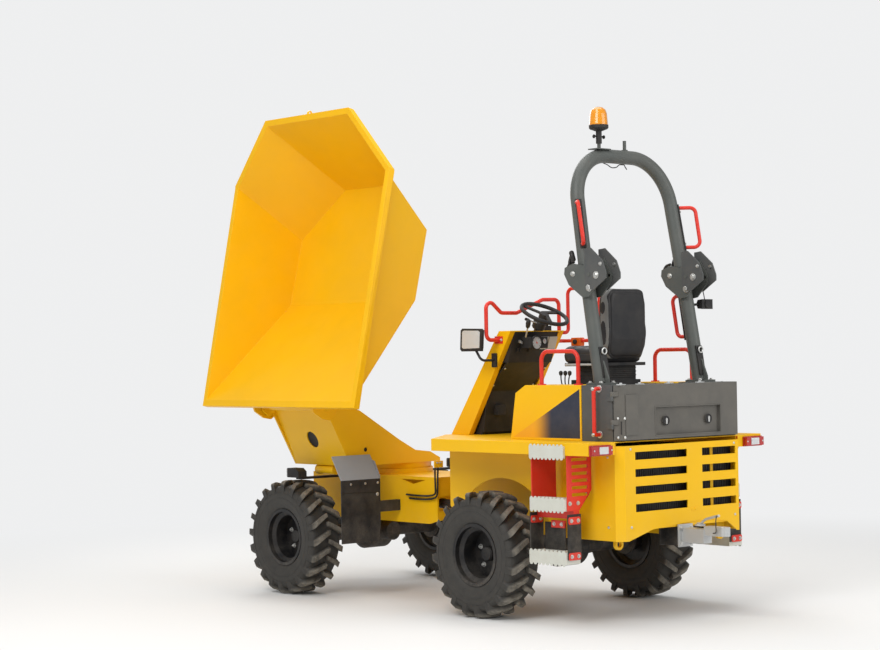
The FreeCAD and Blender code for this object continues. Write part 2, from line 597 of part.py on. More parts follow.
# operator's seat
seatX, seatHalf = -420, s.seatWidth / 2
seatDeckTop = s.boxTop - 8
node("seat_base", [fuse("SeatBase", [
    box("SeatPlinth", (seatX - 165, seatX + 175), (-165, 165), (seatDeckTop, seatDeckTop + 34)),
    box("SeatBellows", (seatX - 145, seatX + 150), (-140, 140), (seatDeckTop + 34, seatDeckTop + 128)),
    box("SeatSlides", (seatX - 175, seatX + 195), (-205, 205), (seatDeckTop + 128, seatDeckTop + 150))])])
cushionLow = seatDeckTop + 150.3
cushion = plate("SeatCushion", "xz", [
    (seatX - 150, cushionLow), (seatX - 150, cushionLow + 88), (seatX + 230, cushionLow + 112),
    (seatX + 262, cushionLow + 70), (seatX + 240, cushionLow)], -seatHalf, seatHalf)
cushionPlan = plate("CushionPlan", "xy", [
    (seatX - 155, -seatHalf), (seatX + 190, -seatHalf), (seatX + 265, -seatHalf + 55), (seatX + 265, seatHalf - 55),
    (seatX + 190, seatHalf), (seatX - 155, seatHalf)], cushionLow - 5, cushionLow + 130)
node("seat_cushion", [common("CushionBody", [cushion, cushionPlan])])
backSide = plate("SeatBackSide", "xz", [
    (seatX - 150.3, cushionLow + 6), (seatX - 178, cushionLow + 6), (seatX - 212, cushionLow + 180),
    (seatX - 208, cushionLow + 505), (seatX - 170, cushionLow + 515), (seatX - 110, cushionLow + 480),
    (seatX - 108, cushionLow + 200), (seatX - 128, cushionLow + 92.5), (seatX - 150.3, cushionLow + 90)],
    -seatHalf, seatHalf)
backRear = plate("SeatBackRear", "yz", [
    (-seatHalf + 45, cushionLow), (seatHalf - 45, cushionLow), (seatHalf - 8, cushionLow + 110),
    (seatHalf - 12, cushionLow + 400), (seatHalf - 34, cushionLow + 490), (seatHalf - 75, cushionLow + 520),
    (-seatHalf + 75, cushionLow + 520), (-seatHalf + 34, cushionLow + 490), (-seatHalf + 12, cushionLow + 400),
    (-seatHalf + 8, cushionLow + 110)], seatX - 230, seatX - 90)
node("seat_back", [common("SeatBackBody", [backSide, backRear])])

# dash tower: two posts, cross panels and a cap
footFront, footBack = s.deckNose - 4, s.towerFoot
headFront, headBack = s.towerHead + s.towerPostDepth + 55, s.towerHead + 35
posts = []
for word, side in sides:
    posts.append(plate(f"TowerPost{side + 1}", "xz", [
        (footBack, s.deckTop), (footFront, s.deckTop), (headFront, s.towerTop - 40),
        (headFront - 30, s.towerTop), (headBack, s.towerTop)],
        *across(side, s.towerHalf - s.towerSheet, s.towerHalf)))
    posts.append(plate(f"TowerEdge{side + 1}", "xz", [
        (footBack, s.deckTop), (footBack + 10, s.deckTop), (headBack + 10, s.towerTop),
        (headBack, s.towerTop)], *across(side, s.towerHalf - 48, s.towerHalf)))
frontSkin = plate("TowerFront", "xz", [
    (footFront - 10, s.deckTop), (footFront, s.deckTop), (headFront, s.towerTop - 40),
    (headFront - 30, s.towerTop), (headFront - 44, s.towerTop), (headFront - 10, s.towerTop - 44)],
    -s.towerHalf, s.towerHalf)
cap = box("TowerCap", (headBack, headFront - 30), (-s.towerHalf, s.towerHalf), (s.towerTop - 8, s.towerTop))
node("dash_tower", [fuse("DashTower", posts + [frontSkin, cap])])
node("dash_panel", [fuse("DashPanel", [
    plate("DashBoard", "xz", [
        (headBack + 10.5, s.towerTop - 8.2), (headBack + 104, s.towerTop - 8.2),
        (headBack + 190, s.towerTop - 225), (headBack + 85, s.towerTop - 225)],
        -s.towerHalf + 49, s.towerHalf - 49),
    box("GaugeHood", (headBack - 60, headBack + 40), (-40, 130), (s.towerTop - 125, s.towerTop - 45))])])
pedalTop = s.deckTop + (s.towerTop - s.deckTop) * 0.422
node("foot_plate", [fuse("FootPlate", [
    plate("PedalSlope", "xz", [
        (620, s.deckTop), (690, s.deckTop), (560, pedalTop), (540, pedalTop)], -180, 200),
    box("Pedal", (520, 592), (60, 130), (pedalTop - 170, pedalTop - 100))])])
wheelTilt, hubDrop = 27, 34
wheelX, wheelZ = headBack - 70, s.towerTop + 115
handWheelPlace = FreeCAD.Placement(vec(wheelX, 0, wheelZ), FreeCAD.Rotation(FreeCAD.Vector(0, 1, 0), -wheelTilt))
column = [bar("ColumnTube", "z", (0, 0, -220), 220 - hubDrop - s.runGap, 19),
          bar("ColumnBoot", "z", (0, 0, -220), 150, 36)]
columnSolid = fuse("ColumnSolid", column)
columnSolid.Placement = handWheelPlace
columnFoot = box("ColumnFoot", (wheelX - 300, wheelX + 400), (-100, 100), (s.towerTop - 250, s.towerTop))
node("steering_column", [cut("SteeringColumn", columnSolid, columnFoot)])
steerRing = doc.addObject("Part::Torus", "SteerRing")
bind(steerRing, "Radius1", s.handWheelRadius)
bind(steerRing, "Radius2", s.handWheelGrip)
steerHub = bar("SteerHub", "z", (0, 0, -hubDrop), hubDrop + 2, 34)
spokes = []
for number in range(3):
    spoke = box(f"Spoke{number}", (20, s.handWheelRadius - 2), (-15, 15), (-12, 0))
    spoke.Placement = FreeCAD.Placement(
        FreeCAD.Vector(), FreeCAD.Rotation(FreeCAD.Vector(0, 0, 1), 120 * number + 30)) * spoke.Placement
    spokes.append(spoke)
node("steering_wheel", [fuse("HandWheel", [steerRing, steerHub] + spokes)], toMachine * handWheelPlace)

# folding roll bar: two leaning legs, then a bow that hinges rearwards on them
leanFrom = s.boxTop + 18


def legX(height):
    return s.rollFootX + (height - leanFrom) * s.rollLean


hingeX, hingeZ = s.rollHingeX, s.rollHingeZ
legTop = hingeZ - 17
bowFoot = hingeZ + 18
plateInner = s.rollTube + 5
plateOuter = plateInner + 10
legY = s.rollY - 10
lowerParts, upperParts = [], []
for word, side in sides:
    lowerParts.append(pipe(f"Leg{side + 1}", [
        (legX(leanFrom) - 2, s.rollY * side, leanFrom - 6), (legX(legTop), legY * side, legTop)],
        s.rollTube, 1))
    lowerParts.append(box(f"LegFoot{side + 1}", (s.rollFootX - 78, s.rollFootX + 56),
                          across(side, s.rollY - 78, s.rollY + 78), (s.boxTop, s.boxTop + 14)))
    lowerParts.append(plate(f"LegGusset{side + 1}", "xz", [
        (s.rollFootX - 76, s.boxTop + 10), (s.rollFootX - 76, s.boxTop + 40),
        (s.rollFootX + 10, s.boxTop + 250), (s.rollFootX + 30, s.boxTop + 250),
        (s.rollFootX + 30, s.boxTop + 10)], *across(side, s.rollY - 6, s.rollY + 6)))
    lowerParts.append(bar(f"LegCollar{side + 1}", "y", (legX(hingeZ - 75), legY * side - plateOuter, hingeZ - 75),
                          plateOuter * 2, 30))
    lowerParts.append(bar(f"HingeBolt{side + 1}", "y", (hingeX, legY * side - plateOuter - 12, hingeZ),
                          plateOuter * 2 + 24, 14))
    for near, far in ((plateInner, plateOuter), (-plateOuter, -plateInner)):
        lowerParts.append(plate(f"HingePlate{side + 1}_{near.value > 0}", "xz", [
            (hingeX - 92, hingeZ - 2), (hingeX - 78, hingeZ - 56), (hingeX + 8, hingeZ - 142),
            (hingeX + 62, hingeZ - 150), (hingeX + 190, hingeZ - 62), (hingeX + 232, hingeZ + 10),
            (hingeX + 226, hingeZ + 52), (hingeX + 150, hingeZ + 78), (hingeX + 60, hingeZ + 62),
            (hingeX - 20, hingeZ + 112)], legY * side + near, legY * side + far))
    upperParts.append(bar(f"BowBoss{side + 1}", "y", (hingeX, legY * side - 46, hingeZ), 92, 26))
    upperParts.append(plate(f"BowWeb{side + 1}", "xz", [
        (hingeX - 24, hingeZ + 8), (hingeX + 24, hingeZ + 8), (hingeX + 60, hingeZ + 26),
        (hingeX + 100, hingeZ + 60), (hingeX + 100, hingeZ + 130)],
        legY * side - 30, legY * side + 30))
bowTop = s.rollTop
upperParts.append(pipe("Bow", [
    (legX(bowFoot), legY, bowFoot), (legX(bowTop), legY - 28, bowTop),
    (legX(bowTop), 28 - legY, bowTop), (legX(bowFoot), -legY, bowFoot)], s.rollTube, s.rollBend))
hingeBores = [bar(f"HingeBore{side + 1}", "y", (hingeX, legY * side - 60, hingeZ), 120, 14 + s.pinGap)
              for word, side in sides]
node("rops_lower", [fuse("RopsLower", lowerParts)])
bowSolid = cut("RopsUpper", fuse("RopsUpperSolid", upperParts), fuse("HingeBores", hingeBores))
bowOuterTop = bowTop + s.rollTube
stems = [bar("BeaconStem", "z", (legX(bowTop), 190, bowOuterTop - 40), 40 + 34, 12),
         bar("SpigotCollar", "z", (legX(bowTop), -60, bowOuterTop - 20), 24, 22),
         bar("BareSpigot", "z", (legX(bowTop), -60, bowOuterTop - 20), 20 + 66, 12),
         box("BeaconPlate", (legX(bowTop) - 45, legX(bowTop) + 45), (120, 250), (bowOuterTop - 8, bowOuterTop - 1))]
node("rops_upper", [fuse("RopsBow", [bowSolid] + stems)])
beaconLow = bowOuterTop + 34
# each outline goes up the beacon's axis: height, then radius
beaconBase = turned("BeaconBase", [
    (0, 0), (0, 20), (82, 20), (96, 58), (104, 66), (124, 66), (124, 0)])
beaconDome = turned("BeaconDome", [
    (124, 0), (124, 62), (132, 62), (200, 57), (226, 48), (241, 30), (246, 12), (246, 0)])
upright = FreeCAD.Placement(vec(legX(bowTop), 190, beaconLow), FreeCAD.Rotation(FreeCAD.Vector(1, 0, 0), 90))
node("beacon_base", [beaconBase], toMachine * upright)
node("beacon", [beaconDome], toMachine * upright)

# grab rails and guards, each a bent tube
guardX, railLeft, railTop = headFront - 30, s.towerHalf, s.towerTop
node("guard_rails", [
    pipe("FrontGuard", [
        (guardX, railLeft, railTop - 63), (guardX, railLeft + 120, railTop - 63),
        (guardX, railLeft + 120, railTop + 245), (guardX, railLeft - 25, railTop + 127),
        (guardX, railLeft - 175, railTop + 127), (guardX, 95 - railLeft, railTop + 223),
        (guardX, -railLeft - 70, railTop + 225), (guardX, -railLeft - 70, railTop - 35),
        (guardX, -railLeft, railTop - 35)], 14, 45),
    pipe("SideGuard", [
        (guardX - 55, -railLeft, railTop - 75), (guardX - 55, -railLeft - 65, railTop - 75),
        (headBack - 290, -railLeft - 65, railTop - 75), (headBack - 290, -railLeft - 65, railTop + 300),
        (headBack + 22, -railLeft - 65, railTop + 300), (headBack + 22, -railLeft - 65, railTop - 15),
        (headBack + 22, -railLeft, railTop - 15)], 13, 45)])
hipX = (-700, -360)
node("hip_hoops", [pipe(f"HipHoop{side + 1}", [
    (hipX[0], 560 * side, s.boxTop), (hipX[0], 560 * side, 1775), (hipX[1], 560 * side, 1775),
    (hipX[1], 560 * side, s.boxTop)], 14, 60) for word, side in sides])
cornerHandles = []
for word, side in sides:
    handleY = (s.upperY + 52) * side
    cornerHandles.append(pipe(f"CornerHandle{side + 1}", [
        (-930, s.upperY * side, 1235), (-930, handleY, 1235), (-930, handleY, 1530),
        (-930, s.upperY * side, 1530)], 13, 30))
node("corner_handles", cornerHandles)


def gripHandle(name, side, leg, low, high, turn, standing):
    # a bent handle seated on a leg of the roll bar, turned outwards by turn degrees from straight back
    away = (-math.cos(math.radians(turn)), math.sin(math.radians(turn)) * side)
    spots = []
    for height, reach in ((low, 0), (low, standing), (high, standing), (high, 0)):
        spots.append((legX(height) + away[0] * reach, legY * side + away[1] * reach, height))
    return cut(name, pipe(name + "Tube", spots, 13, 42), pipe(name + "Seat", leg, s.rollTube + s.seatGap, 1))


bowHandles = []
for word, side in sides:
    bowLeg = [(legX(bowFoot), legY * side, bowFoot), (legX(bowTop), (legY - 28) * side, bowTop)]
    bowHandles.append(gripHandle(f"BowHandle{side + 1}", side, bowLeg, hingeZ + 205, hingeZ + 480, 42,
                                 s.rollTube + 105))
node("bow_handles", bowHandles)
rightLeg = [(legX(leanFrom) - 2, -s.rollY, leanFrom - 6), (legX(legTop), -legY, legTop)]
node("leg_handle", [gripHandle("LegHandle", -1, rightLeg, hingeZ - 410, hingeZ - 130, 180, s.rollTube + 80)])

# mirror on the left, steps on both sides
mirrorX, mirrorY = 400, s.towerHalf + 135
node("mirror_arm", [pipe("MirrorArm", [
    (mirrorX, s.towerHalf, s.towerTop - 205), (mirrorX, mirrorY, s.towerTop - 205),
    (mirrorX + 60, mirrorY, s.towerTop - 125)], 9, 30)])
node("mirror_head", [plate("MirrorHead", "xz", [
    (mirrorX - 30, s.towerTop - 140), (mirrorX - 45, s.towerTop + 5), (mirrorX - 28, s.towerTop + 17),
    (mirrorX + 160, s.towerTop + 22), (mirrorX + 177, s.towerTop + 8), (mirrorX + 185, s.towerTop - 125),
    (mirrorX + 170, s.towerTop - 140)], mirrorY + 9.2, mirrorY + 31)])
stepFrames, stepTreads, stepStraps = [], [], []
stepOut = s.deckHalf + 18
stepIn = s.skinY + (s.deckHalf - s.skinY) * 0.546
for word, side in sides:
    tag = side + 1
    stepFrames.append(box(f"StepFrontPlate{tag}", (s.stepFront - s.stepPlate, s.stepFront),
                          across(side, s.upperY + 15, s.deckHalf - fold - 0.2), (s.stepMiddle - 40, deckUnder)))
    rearPlate = plate(f"StepRearPlate{tag}", "yz", [
        (side * (s.upperY + 15), deckUnder), (side * (s.deckHalf - fold - 0.2), deckUnder),
        (side * (s.deckHalf - fold - 0.2), s.stepMiddle - 40), (side * (stepIn + 3), s.stepMiddle - 40),
        (side * (s.upperY + 15), 880)], s.stepBack, s.stepBack + s.stepPlate)
    rearSlots = [box(f"StepSlot{tag}{number}", (s.stepBack - 5, s.stepBack + s.stepPlate + 5),
                     across(side, s.upperY + 50, s.deckHalf - 50), (level, level + 20))
                 for number, level in enumerate((845, 890, 935, 980, 1025, 1070))]
    stepFrames.append(cut(f"StepRear{tag}", rearPlate, fuse(f"StepSlots{tag}", rearSlots)))
    stepFrames.append(box(f"StepBar{tag}", (s.stepBack, s.stepFront), across(side, stepIn + 3, stepIn + 58),
                          (s.stepMiddle - 92, s.stepMiddle - 40.2)))
    between = (s.stepBack + s.stepPlate + 0.2, s.stepFront - s.stepPlate - 0.2)
    treadTable = [
        # bottom, inner edge, extent along the machine
        (s.deckTop - 100, s.deckHalf + s.seatGap, between), (s.stepMiddle - 40, stepIn, between),
        (s.stepLow - 40, stepIn, (s.stepBack + 0.2, s.stepFront - 0.2))]
    for number, (level, inner, along) in enumerate(treadTable):
        stepTreads.append(box(f"StepTread{tag}{number}", along, across(side, inner, stepOut),
                              (level, level + s.treadHeight)))
    for number, strapX in enumerate((s.stepFront, s.stepBack - s.strapThick)):
        stepStraps.append(box(f"StepStrap{tag}{number}", (strapX, strapX + s.strapThick),
                              across(side, stepIn, s.deckHalf), (s.stepLow - 10, s.stepMiddle - 60)))
node("step_frames", [fuse("StepFrames", stepFrames)])
node("step_treads", [fuse("StepTreads", stepTreads)])
node("step_straps", [fuse("StepStraps", stepStraps)])
lampBacks, lampLenses = [], []
for word, side in sides:
    lampBacks.append(box(f"LampBack{side + 1}", (s.deckBack - 14, s.deckBack),
                         across(side, s.deckHalf - 195, s.deckHalf - 5), (s.deckTop - 82, s.deckTop - 14)))
    lampLenses.append(box(f"LampLens{side + 1}", (s.deckBack - 34, s.deckBack - 14),
                          across(side, s.deckHalf - 190, s.deckHalf - 10), (s.deckTop - 77, s.deckTop - 19)))
node("rear_lamp_housings", lampBacks)
node("rear_lamp_lenses", lampLenses)

# tow hitch
node("hitch_bracket", [fuse("HitchBracket", [
    box("HitchPlate", (s.rearFrameBack - 16, s.rearFrameBack), (-95, 95), (490, 800)),
    box("HitchArm", (s.panelBack, s.rearFrameBack - 16), (-55, 55), (490, 610))])])
jawBack = s.panelBack - 380
hitchSolid = fuse("HitchSolid", [
    box("HitchFlange", (s.panelBack - 14, s.panelBack), (-68, 68), (482, 630)),
    box("HitchNeck", (s.panelBack - 200, s.panelBack - 14), (-40, 40), (512, 606)),
    plate("HitchJaw", "xy", [
        (s.panelBack - 196, -34), (s.panelBack - 196, 34), (jawBack + 34, 34), (jawBack + 10, 24), (jawBack, 8),
        (jawBack, -8), (jawBack + 10, -24), (jawBack + 34, -34)], 566, 626)])
hitchBore = bar("HitchBore", "z", (jawBack + 50, 0, 500), 200, 14)
node("tow_hitch", [cut("TowHitch", hitchSolid, hitchBore)])

# front frame: side plates with a window, cross plates, a top plate and the articulation tube
frameIn = s.frameY - s.framePlate
sidePlates = [plate(f"FrameSide{side + 1}", "xz", [
    (s.frameTail, s.frameBottom + 25), (s.frameTail, s.frameTop), (s.frameNose, s.frameTop),
    (s.frameNose, s.frameBottom + 90), (s.frameNose - 120, s.frameBottom), (s.frameTail + 90, s.frameBottom)],
    *across(side, frameIn, s.frameY), window=[
        (s.frameTail + 130, s.frameTop - 8), (s.frameTail + 400, s.frameTop - 8),
        (s.frameTail + 265, s.frameTop - 42)])
    for word, side in sides]
webLow, webHigh = s.earLow + s.earPlate + 10, s.earHigh - s.earPlate - 10
tailPlates = [
    box("TailLow", (s.frameTail, s.frameTail + 16), (-frameIn, frameIn), (s.frameBottom + 25, s.steerZ - 55)),
    box("TailMiddle", (s.frameTail, s.frameTail + 16), (-85, 85), (s.frameBottom + 25, s.frameTop)),
    box("TailHigh", (s.frameTail, s.frameTail + 16), (-frameIn, frameIn), (s.steerZ + 55, s.frameTop)),
    box("NosePlate", (s.frameNose - 16, s.frameNose), (-frameIn, frameIn), (s.frameBottom + 90, s.frameTop)),
    box("MiddlePlate", (s.guardX + 80, s.guardX + 94), (-frameIn, frameIn), (s.frameBottom, s.frameTop)),
    box("FrameTopPlate", (s.frameTail, s.frameNose), (-s.frameY, s.frameY), (s.frameTop, s.frameTop + s.topPlate)),
    box("KnuckleWeb", (s.pivotX + 30, s.frameTail + 8), (-48, 48), (webLow, webHigh))]
knuckle = bar("KnuckleTube", "z", (s.pivotX, 0, s.earLow + s.earPlate + s.runGap),
              s.earHigh - s.earLow - s.earPlate * 2 - s.runGap * 2, s.pivotTube)
knuckleBore = bar("KnuckleBore", "z", (s.pivotX, 0, s.earLow), s.earHigh - s.earLow, s.pivotPin + s.pinGap)
steerBracket = []
for number, lift in enumerate((-40, 25)):
    lugLow = s.steerZ + lift
    steerBracket.append(box(f"FrontLug{number}", (s.steerFrontX - 55, s.steerFrontX + 55),
                            (s.steerFrontY, frameIn + 2), (lugLow, lugLow + 15)))
    steerBracket.append(bar(f"FrontLugEnd{number}", "z", (s.steerFrontX, s.steerFrontY, lugLow), 15, 40))
node("front_frame", [cut("FrontFrame", fuse("FrontFrameSolid", sidePlates + tailPlates + [knuckle] + steerBracket),
                         knuckleBore)])
ringLow = s.frameTop + s.topPlate
ringSplit = ringLow + s.ringHeight * 0.46
node("slew_ring", [ring("SlewRing", "z", (s.slewX, 0, ringLow), ringSplit - ringLow - s.runGap / 2,
                        s.ringRadius + 12, s.ringRadius - 90)])

guardParts, lampParts, glassParts = [], [], []
for word, side in sides:
    tag = side + 1
    back = s.guardX
    thick = s.guardSheet
    guardParts.append(plate(f"Guard{tag}", "xz", [
        (back - thick, s.guardBottom), (back, s.guardBottom), (back, s.guardTop - 3), (back + 104, s.guardTop + 164),
        (back + 98, s.guardTop + 171), (back - thick, s.guardTop)], *across(side, s.guardInner + 30, s.guardOuter)))
    guardParts.append(plate(f"GuardInner{tag}", "xz", [
        (back - thick, s.guardBottom + 90), (back + 40, s.guardBottom + 150), (back + 40, s.guardTop - 8),
        (back + 80, s.guardTop + 132), (back + 50, s.guardTop + 122), (back - thick, s.guardTop + 17)], *across(side, s.guardInner + 22, s.guardInner + 30)))
    guardParts.append(box(f"GuardArm{tag}", (back - thick, back + 34), across(side, s.frameY, s.guardInner + 24),
                          (620, 700)))
    lampX, lampY, lampZ = s.wheelbase - 85, s.guardOuter - 58, s.frameTop + 8
    arm = box(f"LampArm{tag}", (lampX - 35, lampX + 35), across(side, s.frameY, lampY - 22), (lampZ - 16, lampZ))
    shell = plate(f"LampBody{tag}", "xz", [
        (lampX - 75, lampZ), (lampX + 62, lampZ), (lampX + 62, lampZ + 70), (lampX - 40, lampZ + 70),
        (lampX - 75, lampZ + 45)], *across(side, lampY - 40, lampY + 40))
    lampParts.append(fuse(f"FrontLamp{tag}", [arm, shell]))
    glassParts.append(box(f"FrontLens{tag}", (lampX + 62, lampX + 75), across(side, lampY - 35, lampY + 35),
                          (lampZ + 5, lampZ + 65)))
node("mudguards", [fuse("Mudguards", guardParts)])
node("front_lamps", lampParts)
node("front_lamp_lenses", glassParts)

# steering ram: the barrel hangs on the rear frame's pin, the rod's eye sits between the front lugs
steerSpan = math.dist((mm(s.steerRearX), mm(s.steerRearY)), (mm(s.steerFrontX), mm(s.steerFrontY)))
steerAngle = math.degrees(math.atan2(mm(s.steerFrontY - s.steerRearY), mm(s.steerFrontX - s.steerRearX)))
steerPlace = toMachine * FreeCAD.Placement(
    vec(s.steerRearX, s.steerRearY, s.steerZ), FreeCAD.Rotation(FreeCAD.Vector(0, 0, 1), steerAngle))


def ramPair(name, span, stroke, neck, barrelEnd, barrelRadius, rodRadius, eyeAxis, eyeHalf, rodEyeHalf, pinRadius):
    # barrel and rod along X from the barrel's pin, each with an eye across eyeAxis
    def eyeStart(along, half):
        return (along, 0, -half) if eyeAxis == "z" else (along, -half, 0)

    eyeRadius = pinRadius + 17
    tube = bar(name + "Tube", "x", (neck, 0, 0), barrelEnd - neck, barrelRadius)
    tang = box(name + "Tang", (0, neck + 4), (-eyeHalf * 0.8, eyeHalf * 0.8), (-eyeHalf * 0.8, eyeHalf * 0.8))
    gland = bar(name + "Gland", "x", (barrelEnd - 34, 0, 0), 34, barrelRadius + 5)
    eye = bar(name + "Eye", eyeAxis, eyeStart(0, eyeHalf), eyeHalf * 2, eyeRadius)
    port = bar(name + "Port", "z" if eyeAxis == "y" else "y",
               (neck + 28, 0, 0), barrelRadius + 16, 11)
    hollow = bar(name + "Hollow", "x", (neck + 8, 0, 0), barrelEnd - neck - 42, barrelRadius - 8)
    glandBore = bar(name + "GlandBore", "x", (neck + 20, 0, 0), barrelEnd, rodRadius + s.pinGap)
    pinBore = bar(name + "PinBore", eyeAxis, eyeStart(0, eyeHalf + 10), eyeHalf * 2 + 20, pinRadius)
    barrel = cut(name + "Barrel", fuse(name + "BarrelSolid", [tube, gland, eye, port, tang]),
                 fuse(name + "Bores", [hollow, glandBore, pinBore]))
    rodStart = neck + 14 + stroke
    shaft = bar(name + "Shaft", "x", (rodStart, 0, 0), span - rodStart, rodRadius)
    piston = bar(name + "Piston", "x", (rodStart, 0, 0), 22, barrelRadius - 9)
    rodEye = bar(name + "RodEye", eyeAxis, eyeStart(span, rodEyeHalf), rodEyeHalf * 2, eyeRadius)
    rodBore = bar(name + "RodBore", eyeAxis, eyeStart(span, rodEyeHalf + 10), rodEyeHalf * 2 + 20, pinRadius)
    rod = cut(name + "Rod", fuse(name + "RodSolid", [shaft, piston, rodEye]), rodBore)
    return barrel, rod


steerBarrel, steerRod = ramPair("Steer", Size(steerSpan, f"({steerSpan})"), s.steerStroke, s.steerNeck,
                                s.steerBarrelEnd, s.steerBarrel, s.steerRod, "z", 24, 24, s.steerPinRadius)
node("steering_ram_barrel", [steerBarrel], steerPlace)
node("steering_ram_rod", [steerRod], steerPlace)

# swivel frame, drawn pointing forward: X is outward from the slew centre
swivelIn = s.swivelHalf - s.swivelPlate
floorTop = s.swivelBase + s.swivelFloor
cheekOutline = [
    (-236, s.swivelBase), (s.tipU - 239, s.swivelBase), (s.tipU - 30, s.tipZ - 62),
    (s.tipU + 20, s.tipZ - 72), (s.tipU + 66, s.tipZ - 34), (s.tipU + 72, s.tipZ + 14), (s.tipU + 42, s.tipZ + 58),
    (s.tipU - 8, s.tipZ + 68), (s.tipU - 331, s.tipZ - 38), (s.tipU - 713, s.tipZ - 268),
    (s.tipU + s.floorU, s.tipZ + s.floorW - 10),
    (s.tipU - 1018, s.tipZ - 368), (-236, s.swivelBase + 26)]
tipPinLow = s.swivelHalf + 30
swivelParts = []
for word, side in sides:
    swivelParts.append(plate(f"Cheek{side + 1}", "xz", cheekOutline, *across(side, swivelIn, s.swivelHalf),
                             holes=[(500, s.swivelBase + 117, 17), (455, s.swivelBase + 44, 14)]))
    swivelParts.append(bar(f"TipPin{side + 1}", "y", (s.tipU, swivelIn if side > 0 else -tipPinLow, s.tipZ),
                           tipPinLow - swivelIn, s.tipPin))
swivelParts.append(box("SwivelFloor", (-236, s.tipU - 239), (-s.swivelHalf, s.swivelHalf), (s.swivelBase, floorTop)))
swivelParts.append(plate("FrontSlope", "xz", [
    (s.tipU - 249, s.swivelBase), (s.tipU - 239, s.swivelBase), (s.tipU - 42, s.tipZ - 31), (s.tipU - 52, s.tipZ - 31)],
    -swivelIn, swivelIn))
swivelParts.append(bar("CheekTie", "y", (s.tipU, -swivelIn, s.tipZ), swivelIn * 2, 30))
ramLugs = [plate(f"RamLug{side + 1}", "xz", [
    (s.ramU - 62, floorTop - 2), (s.ramU + 62, floorTop - 2), (s.ramU + 40, s.ramZ + 30),
    (s.ramU, s.ramZ + 46), (s.ramU - 40, s.ramZ + 30)], *across(side, 36, 52)) for word, side in sides]
ramPin = bar("RamPin", "y", (s.ramU, -60, s.ramZ), 120, s.ramPinRadius - s.pinGap)
slopeHole = bar("SlopeHole", "x", (s.tipU - 330, 0, s.swivelBase + 194), 400, 60)
swivelSolid = cut("SwivelSolid", fuse("SwivelFrame", swivelParts), slopeHole)
turnRing = ring("TurnRing", "z", (0, 0, ringSplit + s.runGap / 2), s.swivelBase - ringSplit - s.runGap / 2,
                s.ringRadius, s.ringRadius - 90)
slewTube = bar("SlewTube", "y", (s.ringRadius + 270, -105, s.swivelBase - 35), 210, 36)
node("swivel_frame", [fuse("SwivelWhole", [swivelSolid, turnRing, slewTube, ramPin] + ramLugs)], toSwivel)

# tip ram
ramEye = FreeCAD.Placement(vec(s.tipU, 0, s.tipZ), FreeCAD.Rotation(
    FreeCAD.Vector(0, 1, 0), mm(s.tipAngle))).multVec(vec(s.ramEyeU, 0, s.ramEyeW))
ramFoot = vec(s.ramU, 0, s.ramZ)
ramSpan = (ramEye - ramFoot).Length
ramAngle = math.degrees(math.atan2(ramEye.z - ramFoot.z, ramEye.x - ramFoot.x))
ramPlace = toSwivel * FreeCAD.Placement(ramFoot, FreeCAD.Rotation(FreeCAD.Vector(0, 1, 0), -ramAngle))
tipBarrel, tipRod = ramPair("Tip", Size(ramSpan, f"({ramSpan})"), s.ramStroke, s.ramNeck, s.ramBarrelEnd,
                            s.ramBarrel, s.ramRod, "y", 30, 29.5, s.ramPinRadius)
node("tip_ram_barrel", [tipBarrel], ramPlace)
node("tip_ram_rod", [tipRod], ramPlace)

# skip: an outer shape of flat panels, shelled from its mouth, with a folded rim and its lugs
sideA = s.floorHalf + s.sideFlare * (s.sideRimW - s.floorW)
sideLip = s.floorHalf + s.sideFlare * (s.lipW - s.floorW)
floorBackU = s.floorU - s.floorFlat
tailU = s.floorU - s.floorTail
cornerA = vec(s.sideRimU, sideA, s.sideRimW)
cornerP = vec(floorBackU, s.floorHalf, s.floorW)
cornerF = vec(tailU, s.tailHalf, s.floorW)
normal = (cornerF - cornerP).cross(cornerA - cornerP)
backReach = FreeCAD.Vector(mm(s.backRimU), 0, mm(s.backRimW))
backHalf = mm(s.floorHalf) - (normal.x * (backReach.x - cornerP.x) + normal.z * (backReach.z - cornerP.z)) / normal.y

corners = {
    "lip": vec(s.lipU, sideLip, s.lipW), "fold": vec(s.floorU, s.floorHalf, s.floorW), "floorBack": cornerP,
    "tail": cornerF, "side": cornerA, "back": FreeCAD.Vector(backReach.x, backHalf, backReach.z)}


def wallPlane(first, second, third, inset):
    # a wall through three corners, moved in by inset, as its normal and its distance
    middle = FreeCAD.Vector((corners["fold"].x + corners["tail"].x) / 2, 0, 0)
    facing = (second - first).cross(third - first).normalize()
    if facing.dot(middle - first) < 0:
        facing = -facing
    return facing, facing.dot(first) + inset


def meet(one, two, three):
    # the point where three walls meet
    (a, distA), (b, distB), (c, distC) = one, two, three
    return (b.cross(c) * distA + c.cross(a) * distB + a.cross(b) * distC) / a.dot(b.cross(c))


def otherSide(point):
    return FreeCAD.Vector(point.x, -point.y, point.z)


def skipSolid(inset):
    # the skip's walls moved in by inset and run up past the rim
    fold, lip, side, back = corners["fold"], corners["lip"], corners["side"], corners["back"]
    slope = wallPlane(fold, otherSide(fold), lip, inset)
    flank = wallPlane(fold, lip, cornerP, inset)
    slant = wallPlane(cornerP, cornerF, side, inset)
    rear = wallPlane(cornerF, otherSide(cornerF), back, inset)
    floor = (FreeCAD.Vector(0, 0, 1), mm(s.floorW) + inset)
    top = (FreeCAD.Vector(0, 0, 1), mm(s.backRimW) + 60)
    rings = []
    for level in (floor, top):
        half = [meet(slope, flank, level), meet(flank, slant, level), meet(slant, rear, level)]
        rings.append(half + [otherSide(point) for point in reversed(half)])
    return closedShape(rings)


slantA = math.atan2(backHalf - corners["side"].y, mm(s.sideRimU) - mm(s.backRimU)) * -1


